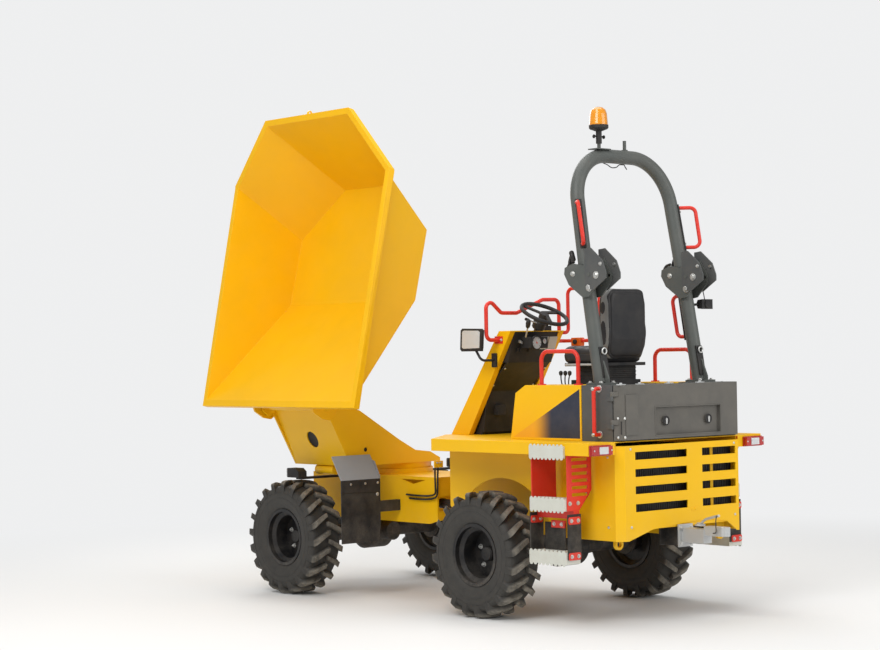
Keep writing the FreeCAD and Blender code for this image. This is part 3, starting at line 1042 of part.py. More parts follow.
def rimPlan(name, spread, low, high):
    # the mouth's outline seen from above, spread outwards
    nu, nv = math.sin(slantA), math.cos(slantA)
    shiftA = -(1 - nv) / nu
    shiftB = (1 - nu) / nv
    right = [(s.lipU + spread, sideLip + spread), (s.sideRimU + spread * shiftA, sideA + spread),
             (s.backRimU - spread, backHalf + spread * shiftB)]
    left = [(along, -out) for along, out in reversed(right)]
    return plate(name, "xy", right + left, low, high)


def rimStrip(name, top, bottom):
    # the rim seen from the side, bent where the back part rises, between two depths
    reach = 80
    riseFront = (s.lipW - s.sideRimW) / (s.lipU - s.sideRimU) * reach
    riseBack = (s.backRimW - s.sideRimW) / (s.sideRimU - s.backRimU) * reach
    line = [(s.lipU + reach, s.lipW + riseFront), (s.sideRimU, s.sideRimW),
            (s.backRimU - reach, s.backRimW + riseBack)]
    outline = [(along, height + top) for along, height in line]
    outline += [(along, height + bottom) for along, height in reversed(line)]
    return plate(name, "xz", outline, -s.floorHalf * 1.5, s.floorHalf * 1.5)


rimLow, rimHigh = s.lipW - 400, s.backRimW + 200
skipBlock = shaped("SkipBlock", skipSolid(0))
skipHollow = shaped("SkipHollow", skipSolid(mm(s.skipSheet)))
belowRim = rimStrip("BelowRim", 0, s.floorW * 3)
skipWalls = common("SkipWalls", [cut("SkipShell", skipBlock, skipHollow), belowRim])
rimOuter = common("RimOuter", [rimPlan("RimPlanOuter", s.rimDepth, rimLow, rimHigh),
                               rimStrip("RimStripOuter", 0, -s.rimBox)])
rimInner = common("RimInner", [rimPlan("RimPlanInner", s.rimDepth - s.skipSheet, rimLow, rimHigh),
                               rimStrip("RimStripInner", -s.skipSheet, -s.rimBox - 5)])
rimBand = cut("RimBand", cut("RimFold", rimOuter, rimInner), skipBlock)


def wallW(along):
    # height of the front slope's outer face at a distance from the tip pins
    return s.floorW + (s.lipW - s.floorW) / (s.lipU - s.floorU) * (along - s.floorU)


lugInner = s.swivelHalf + s.clearGap
lugs = []
for word, side in sides:
    lug = plate(f"SkipLug{side + 1}", "xz", [
        (-560, wallW(-560) - 4), (-300, wallW(-300) - 66), (-96, -46), (-40, -94), (40, -94), (92, -46), (96, 20),
        (66, 110), (-30, wallW(-30) + 4), (-560, wallW(-560) + 4)], *across(side, lugInner, lugInner + 20))
    lugs.append(cut(f"SkipLugBored{side + 1}", lug, bar(
        f"LugBore{side + 1}", "y", (0, (lugInner if side > 0 else -lugInner - 20) - 5, 0), 30, s.tipPin + s.pinGap)))
    lugs.append(plate(f"EyeLug{side + 1}", "xz", [
        (s.ramEyeU - 110, wallW(s.ramEyeU - 110) + 4), (s.ramEyeU - 40, s.ramEyeW - 10),
        (s.ramEyeU, s.ramEyeW - 42), (s.ramEyeU + 40, s.ramEyeW - 10),
        (s.ramEyeU + 95, wallW(s.ramEyeU + 95) + 4)], *across(side, 30.1, 48)))
eyeU, eyeW = s.backRimU - s.rimDepth, s.backRimW - s.rimBox / 2
lugs.append(plate("LiftingEye", "xz", [
    (eyeU + 3, eyeW - 24), (eyeU - 24, eyeW - 20), (eyeU - 36, eyeW - 8), (eyeU - 36, eyeW + 8),
    (eyeU - 24, eyeW + 20), (eyeU + 3, eyeW + 24)], -7, 7, holes=[(eyeU - 18, eyeW, 10)]))
node("skip", [fuse("Skip", [skipWalls, rimBand] + lugs)], toSkip)

doc.recompute()
os.makedirs("parts", exist_ok=True)
for piece in doc.Objects:
    if "Invalid" in piece.State or "Error" in piece.State:
        raise RuntimeError(f"{piece.Label} did not rebuild: {piece.State}")
for piece in nodes:
    if piece.Shape.isNull() or not piece.Shape.isValid() or not piece.Shape.Solids:
        raise RuntimeError(f"{piece.Label} has no sound shape")
for piece in nodes:
    piece.Shape.exportStep(f"parts/{piece.Label}.step")
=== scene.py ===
import math
import random

import bmesh
import bpy
from mathutils import Matrix, Vector


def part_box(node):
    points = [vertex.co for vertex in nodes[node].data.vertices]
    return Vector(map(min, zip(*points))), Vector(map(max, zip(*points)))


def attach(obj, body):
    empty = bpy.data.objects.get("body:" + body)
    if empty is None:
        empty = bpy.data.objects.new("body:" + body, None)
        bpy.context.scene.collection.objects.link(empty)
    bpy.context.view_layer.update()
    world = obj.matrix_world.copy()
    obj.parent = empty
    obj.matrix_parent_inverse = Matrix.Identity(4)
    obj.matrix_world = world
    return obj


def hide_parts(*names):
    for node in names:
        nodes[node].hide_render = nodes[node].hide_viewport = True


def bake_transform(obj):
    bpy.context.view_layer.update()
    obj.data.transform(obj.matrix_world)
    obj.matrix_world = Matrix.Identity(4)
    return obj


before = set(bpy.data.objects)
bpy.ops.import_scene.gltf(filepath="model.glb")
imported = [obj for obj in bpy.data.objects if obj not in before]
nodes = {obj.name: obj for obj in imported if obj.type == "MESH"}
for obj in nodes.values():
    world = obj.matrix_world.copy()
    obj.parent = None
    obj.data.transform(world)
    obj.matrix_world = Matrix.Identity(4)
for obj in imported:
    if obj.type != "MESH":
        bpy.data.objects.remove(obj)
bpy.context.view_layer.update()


# the rear wheels give the place that every other one is measured from
rearLeftLow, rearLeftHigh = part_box("tyre_rear_left")
rearRightLow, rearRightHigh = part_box("tyre_rear_right")
axleSpot = Vector(((rearLeftLow.x + rearLeftHigh.x) / 2, (rearLeftLow.y + rearRightHigh.y) / 2, 0))


def spot(x, y, z):
    # millimetres from the rear axle's middle on the ground, turned into scene metres
    return axleSpot + Vector((x, y, z)) / 1000


print("camera, lamps and floor")
photoView = {
    "from": (-9861, 9929, 1767), "yaw": -41.714, "pitch": 0.844, "roll": -0.93, "lens": 81.82, "sensor": 36,
}
yaw, pitch, roll = (math.radians(photoView[key]) for key in ("yaw", "pitch", "roll"))
ahead = Vector((math.cos(yaw) * math.cos(pitch), math.sin(yaw) * math.cos(pitch), math.sin(pitch)))
sideways = ahead.cross(Vector((0, 0, 1))).normalized()
upward = sideways.cross(ahead)
right = sideways * math.cos(roll) + upward * math.sin(roll)
above = upward * math.cos(roll) - sideways * math.sin(roll)
camera = bpy.data.objects.new("camera", bpy.data.cameras.new("camera"))
bpy.context.scene.collection.objects.link(camera)
turn = Matrix((right, above, -ahead)).transposed().to_4x4()
camera.matrix_world = Matrix.Translation(spot(*photoView["from"])) @ turn
camera.data.lens = photoView["lens"]
camera.data.sensor_width = photoView["sensor"]
camera.data.dof.use_dof = False
bpy.context.scene.camera = camera

bpy.context.scene.view_settings.view_transform = "Standard"
studio = {
    "world": 0.43, "floorColour": (0.80, 0.80, 0.79), "floorSize": 120, "backdrop": (0.86, 0.865, 0.87),
    "fadeStart": 3.2, "fadeStop": 8.0,
    "lamps": [
        # name, place, aim, size, watts
        ("keyLamp", (-3.5, 7.5, 7.5), (0, 0, 1.2), 5.0, 520),
        ("fillLamp", (-8.5, -2.5, 4.5), (0, 0, 1.2), 6.0, 280),
        ("backLamp", (7.0, -3.0, 6.5), (0, 0, 1.2), 5.0, 255),
        ("topLamp", (0.5, 0.5, 9.0), (0, 0, 0), 7.0, 300),
    ],
}
for name, place, aim, size, watts in studio["lamps"]:
    lamp = bpy.data.lights.new(name, "AREA")
    lamp.size = size
    lamp.energy = watts
    holder = bpy.data.objects.new(name, lamp)
    holder.location = place
    holder.rotation_euler = (Vector(aim) - Vector(place)).to_track_quat("-Z", "Y").to_euler()
    bpy.context.scene.collection.objects.link(holder)
world = bpy.data.worlds.new("studioWorld")
world.use_nodes = True
bpy.context.scene.world = world
skyShader = world.node_tree.nodes["Background"]
skyShader.inputs["Color"].default_value = (1, 1, 1, 1)
skyShader.inputs["Strength"].default_value = studio["world"]
skySeen = world.node_tree.nodes.new("ShaderNodeBackground")
skySeen.inputs["Color"].default_value = (*studio["backdrop"], 1)
skyMix = world.node_tree.nodes.new("ShaderNodeMixShader")
skyPath = world.node_tree.nodes.new("ShaderNodeLightPath")
skyGloss = world.node_tree.nodes.new("ShaderNodeMath")
skyGloss.operation = "MAXIMUM"
world.node_tree.links.new(skyPath.outputs["Is Camera Ray"], skyGloss.inputs[0])
world.node_tree.links.new(skyPath.outputs["Is Transmission Ray"], skyGloss.inputs[1])
world.node_tree.links.new(skyGloss.outputs[0], skyMix.inputs[0])
world.node_tree.links.new(skyShader.outputs[0], skyMix.inputs[1])
world.node_tree.links.new(skySeen.outputs[0], skyMix.inputs[2])
world.node_tree.links.new(skyMix.outputs[0], world.node_tree.nodes["World Output"].inputs["Surface"])


print("shader groups")


def nodeGroup(name, inputs, outputs):
    # inputs and outputs are (name, socket type, default) rows
    group = bpy.data.node_groups.new(name, "ShaderNodeTree")
    for label, kind, default in inputs:
        socket = group.interface.new_socket(label, in_out="INPUT", socket_type=kind)
        socket.default_value = default
    for label, kind in outputs:
        group.interface.new_socket(label, in_out="OUTPUT", socket_type=kind)
    return group, group.nodes.new("NodeGroupInput"), group.nodes.new("NodeGroupOutput")


def addNode(tree, kind, values=(), **settings):
    made = tree.nodes.new(kind)
    for key, value in settings.items():
        setattr(made, key, value)
    for key, value in values:
        made.inputs[key].default_value = value
    return made


def dustGroup():
    # pale dust that gathers low down and in patches, over any colour
    group, given, result = nodeGroup("roadDust", [
        ("Color", "NodeSocketColor", (0.5, 0.5, 0.5, 1)), ("Roughness", "NodeSocketFloat", 0.4),
        ("Dust Color", "NodeSocketColor", (0.42, 0.36, 0.29, 1)), ("Amount", "NodeSocketFloat", 0.5),
        ("Fade Height", "NodeSocketFloat", 0.9), ("Overall", "NodeSocketFloat", 0.05),
    ], [("Color", "NodeSocketColor"), ("Roughness", "NodeSocketFloat"), ("Mask", "NodeSocketFloat")])
    link = group.links.new
    place = addNode(group, "ShaderNodeTexCoord")
    parts = addNode(group, "ShaderNodeSeparateXYZ")
    patches = addNode(group, "ShaderNodeTexNoise", [("Scale", 7.0), ("Detail", 6.0), ("Roughness", 0.62)])
    specks = addNode(group, "ShaderNodeTexNoise", [("Scale", 90.0), ("Detail", 4.0)])
    height = addNode(group, "ShaderNodeMapRange", [("From Min", 0.0), ("To Min", 1.0), ("To Max", 0.0)])
    square = addNode(group, "ShaderNodeMath", [(1, 1.6)], operation="POWER")
    patchRange = addNode(group, "ShaderNodeMapRange", [("From Min", 0.36), ("From Max", 0.68)])
    speckRange = addNode(group, "ShaderNodeMapRange", [("From Min", 0.42), ("From Max", 0.62), ("To Min", 0.55)])
    low = addNode(group, "ShaderNodeMath", operation="MULTIPLY")
    broken = addNode(group, "ShaderNodeMath", operation="MULTIPLY")
    scaled = addNode(group, "ShaderNodeMath", operation="MULTIPLY")
    film = addNode(group, "ShaderNodeMath", operation="MULTIPLY")
    total = addNode(group, "ShaderNodeMath", operation="ADD", use_clamp=True)
    tint = addNode(group, "ShaderNodeMix", data_type="RGBA")
    rough = addNode(group, "ShaderNodeMix", [("B", 0.88)], data_type="FLOAT")
    link(place.outputs["Object"], parts.inputs[0])
    link(place.outputs["Object"], patches.inputs["Vector"])
    link(place.outputs["Object"], specks.inputs["Vector"])
    link(parts.outputs["Z"], height.inputs["Value"])
    link(given.outputs["Fade Height"], height.inputs["From Max"])
    link(height.outputs[0], square.inputs[0])
    link(patches.outputs["Fac"], patchRange.inputs["Value"])
    link(specks.outputs["Fac"], speckRange.inputs["Value"])
    link(square.outputs[0], low.inputs[0])
    link(patchRange.outputs[0], low.inputs[1])
    link(low.outputs[0], broken.inputs[0])
    link(speckRange.outputs[0], broken.inputs[1])
    link(broken.outputs[0], scaled.inputs[0])
    link(given.outputs["Amount"], scaled.inputs[1])
    link(patchRange.outputs[0], film.inputs[0])
    link(given.outputs["Overall"], film.inputs[1])
    link(scaled.outputs[0], total.inputs[0])
    link(film.outputs[0], total.inputs[1])
    link(total.outputs[0], tint.inputs["Factor"])
    link(given.outputs["Color"], tint.inputs["A"])
    link(given.outputs["Dust Color"], tint.inputs["B"])
    link(total.outputs[0], rough.inputs["Factor"])
    link(given.outputs["Roughness"], rough.inputs["A"])
    link(tint.outputs["Result"], result.inputs["Color"])
    link(rough.outputs["Result"], result.inputs["Roughness"])
    link(total.outputs[0], result.inputs["Mask"])
    return group


def grainGroup():
    # fine height: orange peel on paint, moulded grain on plastic, according to its scale
    group, given, result = nodeGroup("surfaceGrain", [
        ("Scale", "NodeSocketFloat", 300.0), ("Stretch", "NodeSocketVector", (1, 1, 1)),
        ("Strength", "NodeSocketFloat", 0.1), ("Depth", "NodeSocketFloat", 0.001),
    ], [("Normal", "NodeSocketVector"), ("Height", "NodeSocketFloat")])
    link = group.links.new
    place = addNode(group, "ShaderNodeTexCoord")
    spread = addNode(group, "ShaderNodeVectorMath", operation="MULTIPLY")
    noise = addNode(group, "ShaderNodeTexNoise", [("Detail", 3.0), ("Roughness", 0.55)])
    bump = addNode(group, "ShaderNodeBump")
    link(place.outputs["Object"], spread.inputs[0])
    link(given.outputs["Stretch"], spread.inputs[1])
    link(spread.outputs[0], noise.inputs["Vector"])
    link(given.outputs["Scale"], noise.inputs["Scale"])
    link(noise.outputs["Fac"], bump.inputs["Height"])
    link(given.outputs["Strength"], bump.inputs["Strength"])
    link(given.outputs["Depth"], bump.inputs["Distance"])
    link(bump.outputs["Normal"], result.inputs["Normal"])
    link(noise.outputs["Fac"], result.inputs["Height"])
    return group


def toneGroup():
    # slow change of tone over a big panel, so that no colour is dead flat
    group, given, result = nodeGroup("panelTone", [
        ("Color", "NodeSocketColor", (0.5, 0.5, 0.5, 1)), ("Shift", "NodeSocketFloat", 0.08),
        ("Scale", "NodeSocketFloat", 2.5),
    ], [("Color", "NodeSocketColor"), ("Mask", "NodeSocketFloat")])
    link = group.links.new
    place = addNode(group, "ShaderNodeTexCoord")
    noise = addNode(group, "ShaderNodeTexNoise", [("Detail", 5.0), ("Roughness", 0.6)])
    spread = addNode(group, "ShaderNodeMapRange", [("From Min", 0.3), ("From Max", 0.7), ("To Min", -1.0), ("To Max", 1.0)])
    size = addNode(group, "ShaderNodeMath", operation="MULTIPLY_ADD", values=[(2, 1.0)])
    shade = addNode(group, "ShaderNodeHueSaturation")
    link(place.outputs["Object"], noise.inputs["Vector"])
    link(given.outputs["Scale"], noise.inputs["Scale"])
    link(noise.outputs["Fac"], spread.inputs["Value"])
    link(spread.outputs[0], size.inputs[0])
    link(given.outputs["Shift"], size.inputs[1])
    link(size.outputs[0], shade.inputs["Value"])
    link(given.outputs["Color"], shade.inputs["Color"])
    link(shade.outputs["Color"], result.inputs["Color"])
    link(noise.outputs["Fac"], result.inputs["Mask"])
    return group


roadDust, surfaceGrain, panelTone = dustGroup(), grainGroup(), toneGroup()


def groupIn(tree, group, values):
    placed = tree.nodes.new("ShaderNodeGroup")
    placed.node_tree = group
    for key, value in values:
        placed.inputs[key].default_value = value
    return placed


finishes = {
    # colour, roughness, metal, coat, grain scale, grain strength, dust amount, dust height, overall dust
    "yellowPaint": ((0.88, 0.495, 0.001), 0.42, 0, 0.05, 260, 0.06, 0.22, 0.9, 0.02),
    "skipPaint": ((0.91, 0.495, 0.001), 0.42, 0, 0.05, 220, 0.06, 0.0, 1.0, 0.02),
    "barGrey": ((0.088, 0.096, 0.090), 0.46, 0, 0.05, 700, 0.14, 0.1, 1.3, 0.06),
    "coverGrey": ((0.112, 0.106, 0.094), 0.50, 0, 0.03, 700, 0.16, 0.1, 1.3, 0.08),
    "boxGrey": ((0.080, 0.084, 0.084), 0.48, 0, 0.05, 700, 0.16, 0.1, 1.3, 0.06),
    "redPaint": ((0.70, 0.032, 0.018), 0.36, 0, 0.15, 300, 0.10, 0.4, 0.8, 0.05),
    "blackPaint": ((0.014, 0.014, 0.015), 0.40, 0, 0.10, 320, 0.12, 0.45, 0.9, 0.06),
    "rimPaint": ((0.010, 0.010, 0.011), 0.42, 0, 0.12, 320, 0.10, 0.35, 0.7, 0.04),
    "galvanised": ((0.52, 0.53, 0.53), 0.50, 0.55, 0, 160, 0.16, 0.25, 0.9, 0.05),
    "ramChrome": ((0.72, 0.72, 0.74), 0.10, 1, 0, 60, 0.02, 0.0, 1.0, 0.02),
    "seatVinyl": ((0.020, 0.020, 0.022), 0.50, 0, 0.05, 900, 0.30, 0.0, 1.0, 0.04),
    "seatPiping": ((0.19, 0.19, 0.185), 0.55, 0, 0, 900, 0.20, 0.0, 1.0, 0.04),
    "blackPlastic": ((0.016, 0.016, 0.017), 0.55, 0, 0, 1100, 0.28, 0.40, 1.0, 0.06),
    "strapRubber": ((0.015, 0.015, 0.015), 0.70, 0, 0, 500, 0.30, 0.5, 0.9, 0.08),
    "castMetal": ((0.026, 0.026, 0.027), 0.58, 0.2, 0, 140, 0.40, 0.75, 0.8, 0.10),
    "zincBolt": ((0.60, 0.60, 0.58), 0.34, 0.85, 0, 300, 0.10, 0.1, 0.8, 0.03),
    "gripSheet": ((0.66, 0.67, 0.60), 0.46, 0.15, 0, 95, 0.85, 0.25, 2.4, 0.10),
    "mirrorGlass": ((0.66, 0.69, 0.70), 0.28, 0.35, 0, 60, 0.01, 0.0, 1.0, 0.02),
    "paleEnamel": ((0.50, 0.51, 0.51), 0.40, 0, 0.1, 500, 0.10, 0.0, 1.0, 0.04),
    "orangePlastic": ((0.72, 0.12, 0.006), 0.40, 0, 0.1, 500, 0.14, 0.0, 1.0, 0.03),
}


def finish(name):
    colour, roughness, metal, coat, grainScale, grainStrength, dust, dustTop, film = finishes[name]
    material = bpy.data.materials.new(name)
    material.use_nodes = True
    tree = material.node_tree
    shader = tree.nodes["Principled BSDF"]
    tone = groupIn(tree, panelTone, [("Color", (*colour, 1)), ("Shift", 0.03)])
    layer = groupIn(tree, roadDust, [("Roughness", roughness), ("Amount", dust), ("Fade Height", dustTop),
                                     ("Overall", film)])
    grain = groupIn(tree, surfaceGrain, [("Scale", grainScale), ("Strength", grainStrength), ("Depth", 0.0006)])
    tree.links.new(tone.outputs["Color"], layer.inputs["Color"])
    tree.links.new(layer.outputs["Color"], shader.inputs["Base Color"])
    tree.links.new(layer.outputs["Roughness"], shader.inputs["Roughness"])
    tree.links.new(grain.outputs["Normal"], shader.inputs["Normal"])
    shader.inputs["Metallic"].default_value = metal
    shader.inputs["Coat Weight"].default_value = coat
    shader.inputs["Coat Roughness"].default_value = 0.15
    shader.inputs["Specular IOR Level"].default_value = 0.28
    return material


paint = {name: finish(name) for name in finishes}


def mixedFinish(name, first, second, axis, start, stop):
    # one colour turning into another along an axis of the piece, under the same dust and grain
    colour, roughness, metal, coat, grainScale, grainStrength, dust, dustTop, film = finishes[first]
    material = bpy.data.materials.new(name)
    material.use_nodes = True
    tree = material.node_tree
    shader = tree.nodes["Principled BSDF"]
    place = addNode(tree, "ShaderNodeTexCoord")
    parts = addNode(tree, "ShaderNodeSeparateXYZ")
    blend = addNode(tree, "ShaderNodeMapRange", [("From Min", start), ("From Max", stop)], interpolation_type="SMOOTHSTEP")
    mix = addNode(tree, "ShaderNodeMix", [("A", (*colour, 1)), ("B", (*second, 1))], data_type="RGBA")
    tone = groupIn(tree, panelTone, [("Shift", 0.05)])
    layer = groupIn(tree, roadDust, [("Roughness", roughness), ("Amount", dust), ("Fade Height", dustTop),
                                     ("Overall", film)])
    grain = groupIn(tree, surfaceGrain, [("Scale", grainScale), ("Strength", grainStrength), ("Depth", 0.0006)])
    tree.links.new(place.outputs["Object"], parts.inputs[0])
    tree.links.new(parts.outputs[axis], blend.inputs["Value"])
    tree.links.new(blend.outputs[0], mix.inputs["Factor"])
    tree.links.new(mix.outputs["Result"], tone.inputs["Color"])
    tree.links.new(tone.outputs["Color"], layer.inputs["Color"])
    tree.links.new(layer.outputs["Color"], shader.inputs["Base Color"])
    tree.links.new(layer.outputs["Roughness"], shader.inputs["Roughness"])
    tree.links.new(grain.outputs["Normal"], shader.inputs["Normal"])
    shader.inputs["Coat Weight"].default_value = coat
    shader.inputs["Specular IOR Level"].default_value = 0.35
    return material


finishes["navyPaint"] = ((0.020, 0.026, 0.050), 0.40, 0, 0.10, 300, 0.08, 0.1, 1.4, 0.05)
# black mudguards turning pale grey above the fold, on their top faces: painted sheen
paint["guardSheet"] = mixedFinish("guardSheet", "blackPlastic", (0.27, 0.28, 0.29), "Z", 0.8645, 0.8655)
paint["navyFade"] = mixedFinish("navyFade", "navyPaint", (0.84, 0.40, 0.004), "X",
                                axleSpot.x - 0.50, axleSpot.x - 0.31)


def tyreFinish(name, lugDustAndHighlightTint):
    # smooth dark side walls; the tread and the tops of the lugs turn pale, partly with dust and partly with a painted
    # highlight, and the gaps between the lugs stay dark as painted shade
    material = bpy.data.materials.new(name)
    material.use_nodes = True
    tree = material.node_tree
    shader = tree.nodes["Principled BSDF"]
    place = addNode(tree, "ShaderNodeTexCoord")
    flatten = addNode(tree, "ShaderNodeVectorMath", [(1, (1, 0, 1))], operation="MULTIPLY")
    radius = addNode(tree, "ShaderNodeVectorMath", operation="LENGTH")
    # lighter with distance from the axle: the lug tops take the dust and painted highlight, the gaps between them keep
    # painted shade
    tread = addNode(tree, "ShaderNodeMapRange", [("From Min", 0.386), ("From Max", 0.416), ("To Min", 0.07)])
    clumps = addNode(tree, "ShaderNodeTexNoise", [("Scale", 16.0), ("Detail", 7.0), ("Roughness", 0.68)])
    spread = addNode(tree, "ShaderNodeMapRange", [("From Min", 0.34), ("From Max", 0.62), ("To Min", 0.22)])
    film = addNode(tree, "ShaderNodeMath", operation="MULTIPLY")
    lugDustAndHighlight = addNode(tree, "ShaderNodeMix", [("A", (0.036, 0.034, 0.031, 1)), ("B", (*lugDustAndHighlightTint, 1))], data_type="RGBA")
    rough = addNode(tree, "ShaderNodeMapRange", [("To Min", 0.62), ("To Max", 0.92)])
    grain = groupIn(tree, surfaceGrain, [("Scale", 240.0), ("Strength", 0.30), ("Depth", 0.0008)])
    link = tree.links.new
    link(place.outputs["Object"], flatten.inputs[0])
    link(flatten.outputs[0], radius.inputs[0])
    link(radius.outputs["Value"], tread.inputs["Value"])
    link(place.outputs["Object"], clumps.inputs["Vector"])
    link(clumps.outputs["Fac"], spread.inputs["Value"])
    link(tread.outputs[0], film.inputs[0])
    link(spread.outputs[0], film.inputs[1])
    link(film.outputs[0], lugDustAndHighlight.inputs["Factor"])
    link(film.outputs[0], rough.inputs["Value"])
    link(lugDustAndHighlight.outputs["Result"], shader.inputs["Base Color"])
    link(rough.outputs[0], shader.inputs["Roughness"])
    link(grain.outputs["Normal"], shader.inputs["Normal"])
    shader.inputs["Specular IOR Level"].default_value = 0.35
    return material


# the pale tint on the lug tops is road dust with a painted highlight
paint["tyreRubber"] = tyreFinish("tyreRubber", (0.250, 0.226, 0.186))


def glowLens(name, colour, roughness, clear):
    material = bpy.data.materials.new(name)
    material.use_nodes = True
    tree = material.node_tree
    shader = tree.nodes["Principled BSDF"]
    tone = groupIn(tree, panelTone, [("Color", (*colour, 1)), ("Shift", 0.05), ("Scale", 20.0)])
    grain = groupIn(tree, surfaceGrain, [("Scale", 120.0), ("Strength", 0.12), ("Depth", 0.001)])
    tree.links.new(tone.outputs["Color"], shader.inputs["Base Color"])
    tree.links.new(grain.outputs["Normal"], shader.inputs["Normal"])
    shader.inputs["Roughness"].default_value = roughness
    shader.inputs["Transmission Weight"].default_value = clear
    shader.inputs["Coat Weight"].default_value = 0.6
    return material


paint["amberLens"] = glowLens("amberLens", (0.95, 0.36, 0.01), 0.16, 0.25)
paint["redLens"] = glowLens("redLens", (0.50, 0.012, 0.010), 0.18, 0.15)
paint["clearLens"] = glowLens("clearLens", (0.85, 0.87, 0.88), 0.10, 0.35)

print("finishes on the packed parts")
nodeFinish = {
    "yellowPaint": ["rear_frame", "deck", "side_skins", "grille_panel", "side_box_left", "side_box_right",
                    "dash_tower", "front_frame", "swivel_frame", "slew_ring"],
    "skipPaint": ["skip"],
    "barGrey": ["rops_lower", "rops_upper"],
    "coverGrey": ["rear_cover"],
    "boxGrey": ["corner_box_left", "corner_box_right", "seat_deck"],
    "redPaint": ["guard_rails", "hip_hoops", "corner_handles", "step_frames", "bow_handles", "leg_handle"],
    "blackPaint": ["steering_column", "mirror_arm", "hitch_bracket", "tip_ram_barrel", "steering_ram_barrel"],
    "castMetal": ["rear_axle", "front_axle", "engine_block"],
    "gripSheet": ["step_treads"],
    "galvanised": ["tow_hitch"],
    "ramChrome": ["tip_ram_rod", "steering_ram_rod"],
    "seatVinyl": ["seat_cushion", "seat_back"],
    "blackPlastic": ["seat_base", "dash_panel", "steering_wheel", "mirror_head", "front_lamps", "foot_plate",
                     "beacon_base"],
    "guardSheet": ["mudguards"],
    "strapRubber": ["step_straps"],
    "amberLens": ["beacon"],
    "redLens": ["rear_lamp_lenses", "rear_lamp_housings"],
    "clearLens": ["front_lamp_lenses"],
    "rimPaint": ["rim_front_left", "rim_front_right", "rim_rear_left", "rim_rear_right"],
    "tyreRubber": ["tyre_front_left", "tyre_front_right", "tyre_rear_left", "tyre_rear_right"],
}
for name, members in nodeFinish.items():
    for member in members:
        part = nodes[member]
        part.data.materials.clear()
        part.data.materials.append(paint[name])

sharpParts = ["deck", "side_skins", "grille_panel", "side_box_left", "side_box_right", "dash_tower", "front_frame",
              "swivel_frame", "skip", "rear_cover", "corner_box_left", "corner_box_right", "seat_deck",
              "step_frames", "step_treads", "step_straps", "mudguards", "rear_lamp_housings", "rear_lamp_lenses",
              "hitch_bracket", "tow_hitch", "seat_base", "dash_panel", "front_lamps"]
for member in sharpParts:
    part = nodes[member]
    weld = part.modifiers.new("joinCorners", "WELD")
    weld.merge_threshold = 0.00005
    softEdge = part.modifiers.new("softEdge", "BEVEL")
    softEdge.width = 0.0025
    softEdge.segments = 2
    softEdge.limit_method = "ANGLE"
    softEdge.angle_limit = math.radians(40)
    softEdge.harden_normals = True
    softEdge.use_clamp_overlap = True

print("small pieces: shared shapes")


def surfaceAt(node, start, heading):
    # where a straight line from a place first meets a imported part, and which way that surface faces
    way = Vector(heading).normalized()
    found, place, normal, face = nodes[node].ray_cast(start, way)
    if not found:
        raise RuntimeError(f"nothing of {node} lies along that line")
    if normal.dot(way) > 0:
        normal = -normal
    return place, normal


def addPiece(name, shape, body, finishName, bevel=0, smooth=None):
    # a finished bmesh becomes a piece that rides on its body
    bmesh.ops.remove_doubles(shape, verts=shape.verts, dist=0.00002)
    bmesh.ops.recalc_face_normals(shape, faces=shape.faces)
    mesh = bpy.data.meshes.new(name)
    shape.to_mesh(mesh)
    shape.free()
    mesh.materials.append(paint[finishName])
    piece = bpy.data.objects.new(name, mesh)
    bpy.context.scene.collection.objects.link(piece)
    if bevel:
        softEdge = piece.modifiers.new("softEdge", "BEVEL")
        softEdge.width = bevel
        softEdge.segments = 2
        softEdge.limit_method = "ANGLE"
        softEdge.angle_limit = math.radians(38)
    if smooth:
        mesh.shade_smooth()
        mesh.set_sharp_from_angle(angle=math.radians(smooth))
    if body:
        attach(piece, body)
    return piece


def sideAxes(heading):
    forward = Vector(heading).normalized()
    guide = Vector((0, 0, 1)) if abs(forward.z) < 0.9 else Vector((1, 0, 0))
    across = guide.cross(forward).normalized()
    return forward, across, forward.cross(across)


def addTurned(shape, place, heading, outline, sides=20, firstTurn=0.0):
    # outline rows are (distance along the heading, radius) in metres, both ends closed
    forward, across, over = sideAxes(heading)
    rings = []
    for along, radius in outline:
        ring = []
        for number in range(sides):
            angle = firstTurn + math.tau * number / sides
            ring.append(shape.verts.new(place + forward * along + (
                across * math.cos(angle) + over * math.sin(angle)) * max(radius, 0.00002)))
        rings.append(ring)
    for low, high in zip(rings, rings[1:]):
        for number in range(sides):
            after = (number + 1) % sides
            shape.faces.new((low[number], low[after], high[after], high[number]))
    shape.faces.new(list(reversed(rings[0])))
    shape.faces.new(rings[-1])


def addBolt(shape, place, heading, radius, height=None):
    # a washer and a hexagon head with its corners turned down
    tall = height or radius * 0.8
    addTurned(shape, place, heading, [(-0.001, radius * 1.45), (radius * 0.2, radius * 1.45),
                                      (radius * 0.24, radius * 1.38)], 16)
    addTurned(shape, place, heading, [(0, radius), (radius * 0.2 + tall * 0.85, radius),
                                      (radius * 0.2 + tall, radius * 0.84)], 6, random.random())


def addButton(shape, place, heading, radius):
    # a domed button head
    addTurned(shape, place, heading, [(-0.001, radius), (radius * 0.18, radius), (radius * 0.45, radius * 0.86),
                                      (radius * 0.62, radius * 0.5), (radius * 0.66, radius * 0.1)], 14)


def addPrism(shape, corners, depth):
    # a flat outline in space, given depth
    near = [shape.verts.new(corner) for corner in corners]
    far = [shape.verts.new(corner + depth) for corner in corners]
    shape.faces.new(list(reversed(near)))
    shape.faces.new(far)
    for number in range(len(near)):
        after = (number + 1) % len(near)
        shape.faces.new((near[number], near[after], far[after], far[number]))


def addBlock(shape, low, high):
    # an upright block between two corners in millimetres of the machine
    (x0, y0, z0), (x1, y1, z1) = low, high
    addPrism(shape, [spot(x0, y0, z0), spot(x1, y0, z0), spot(x1, y1, z0), spot(x0, y1, z0)],
             Vector((0, 0, (z1 - z0) / 1000)))


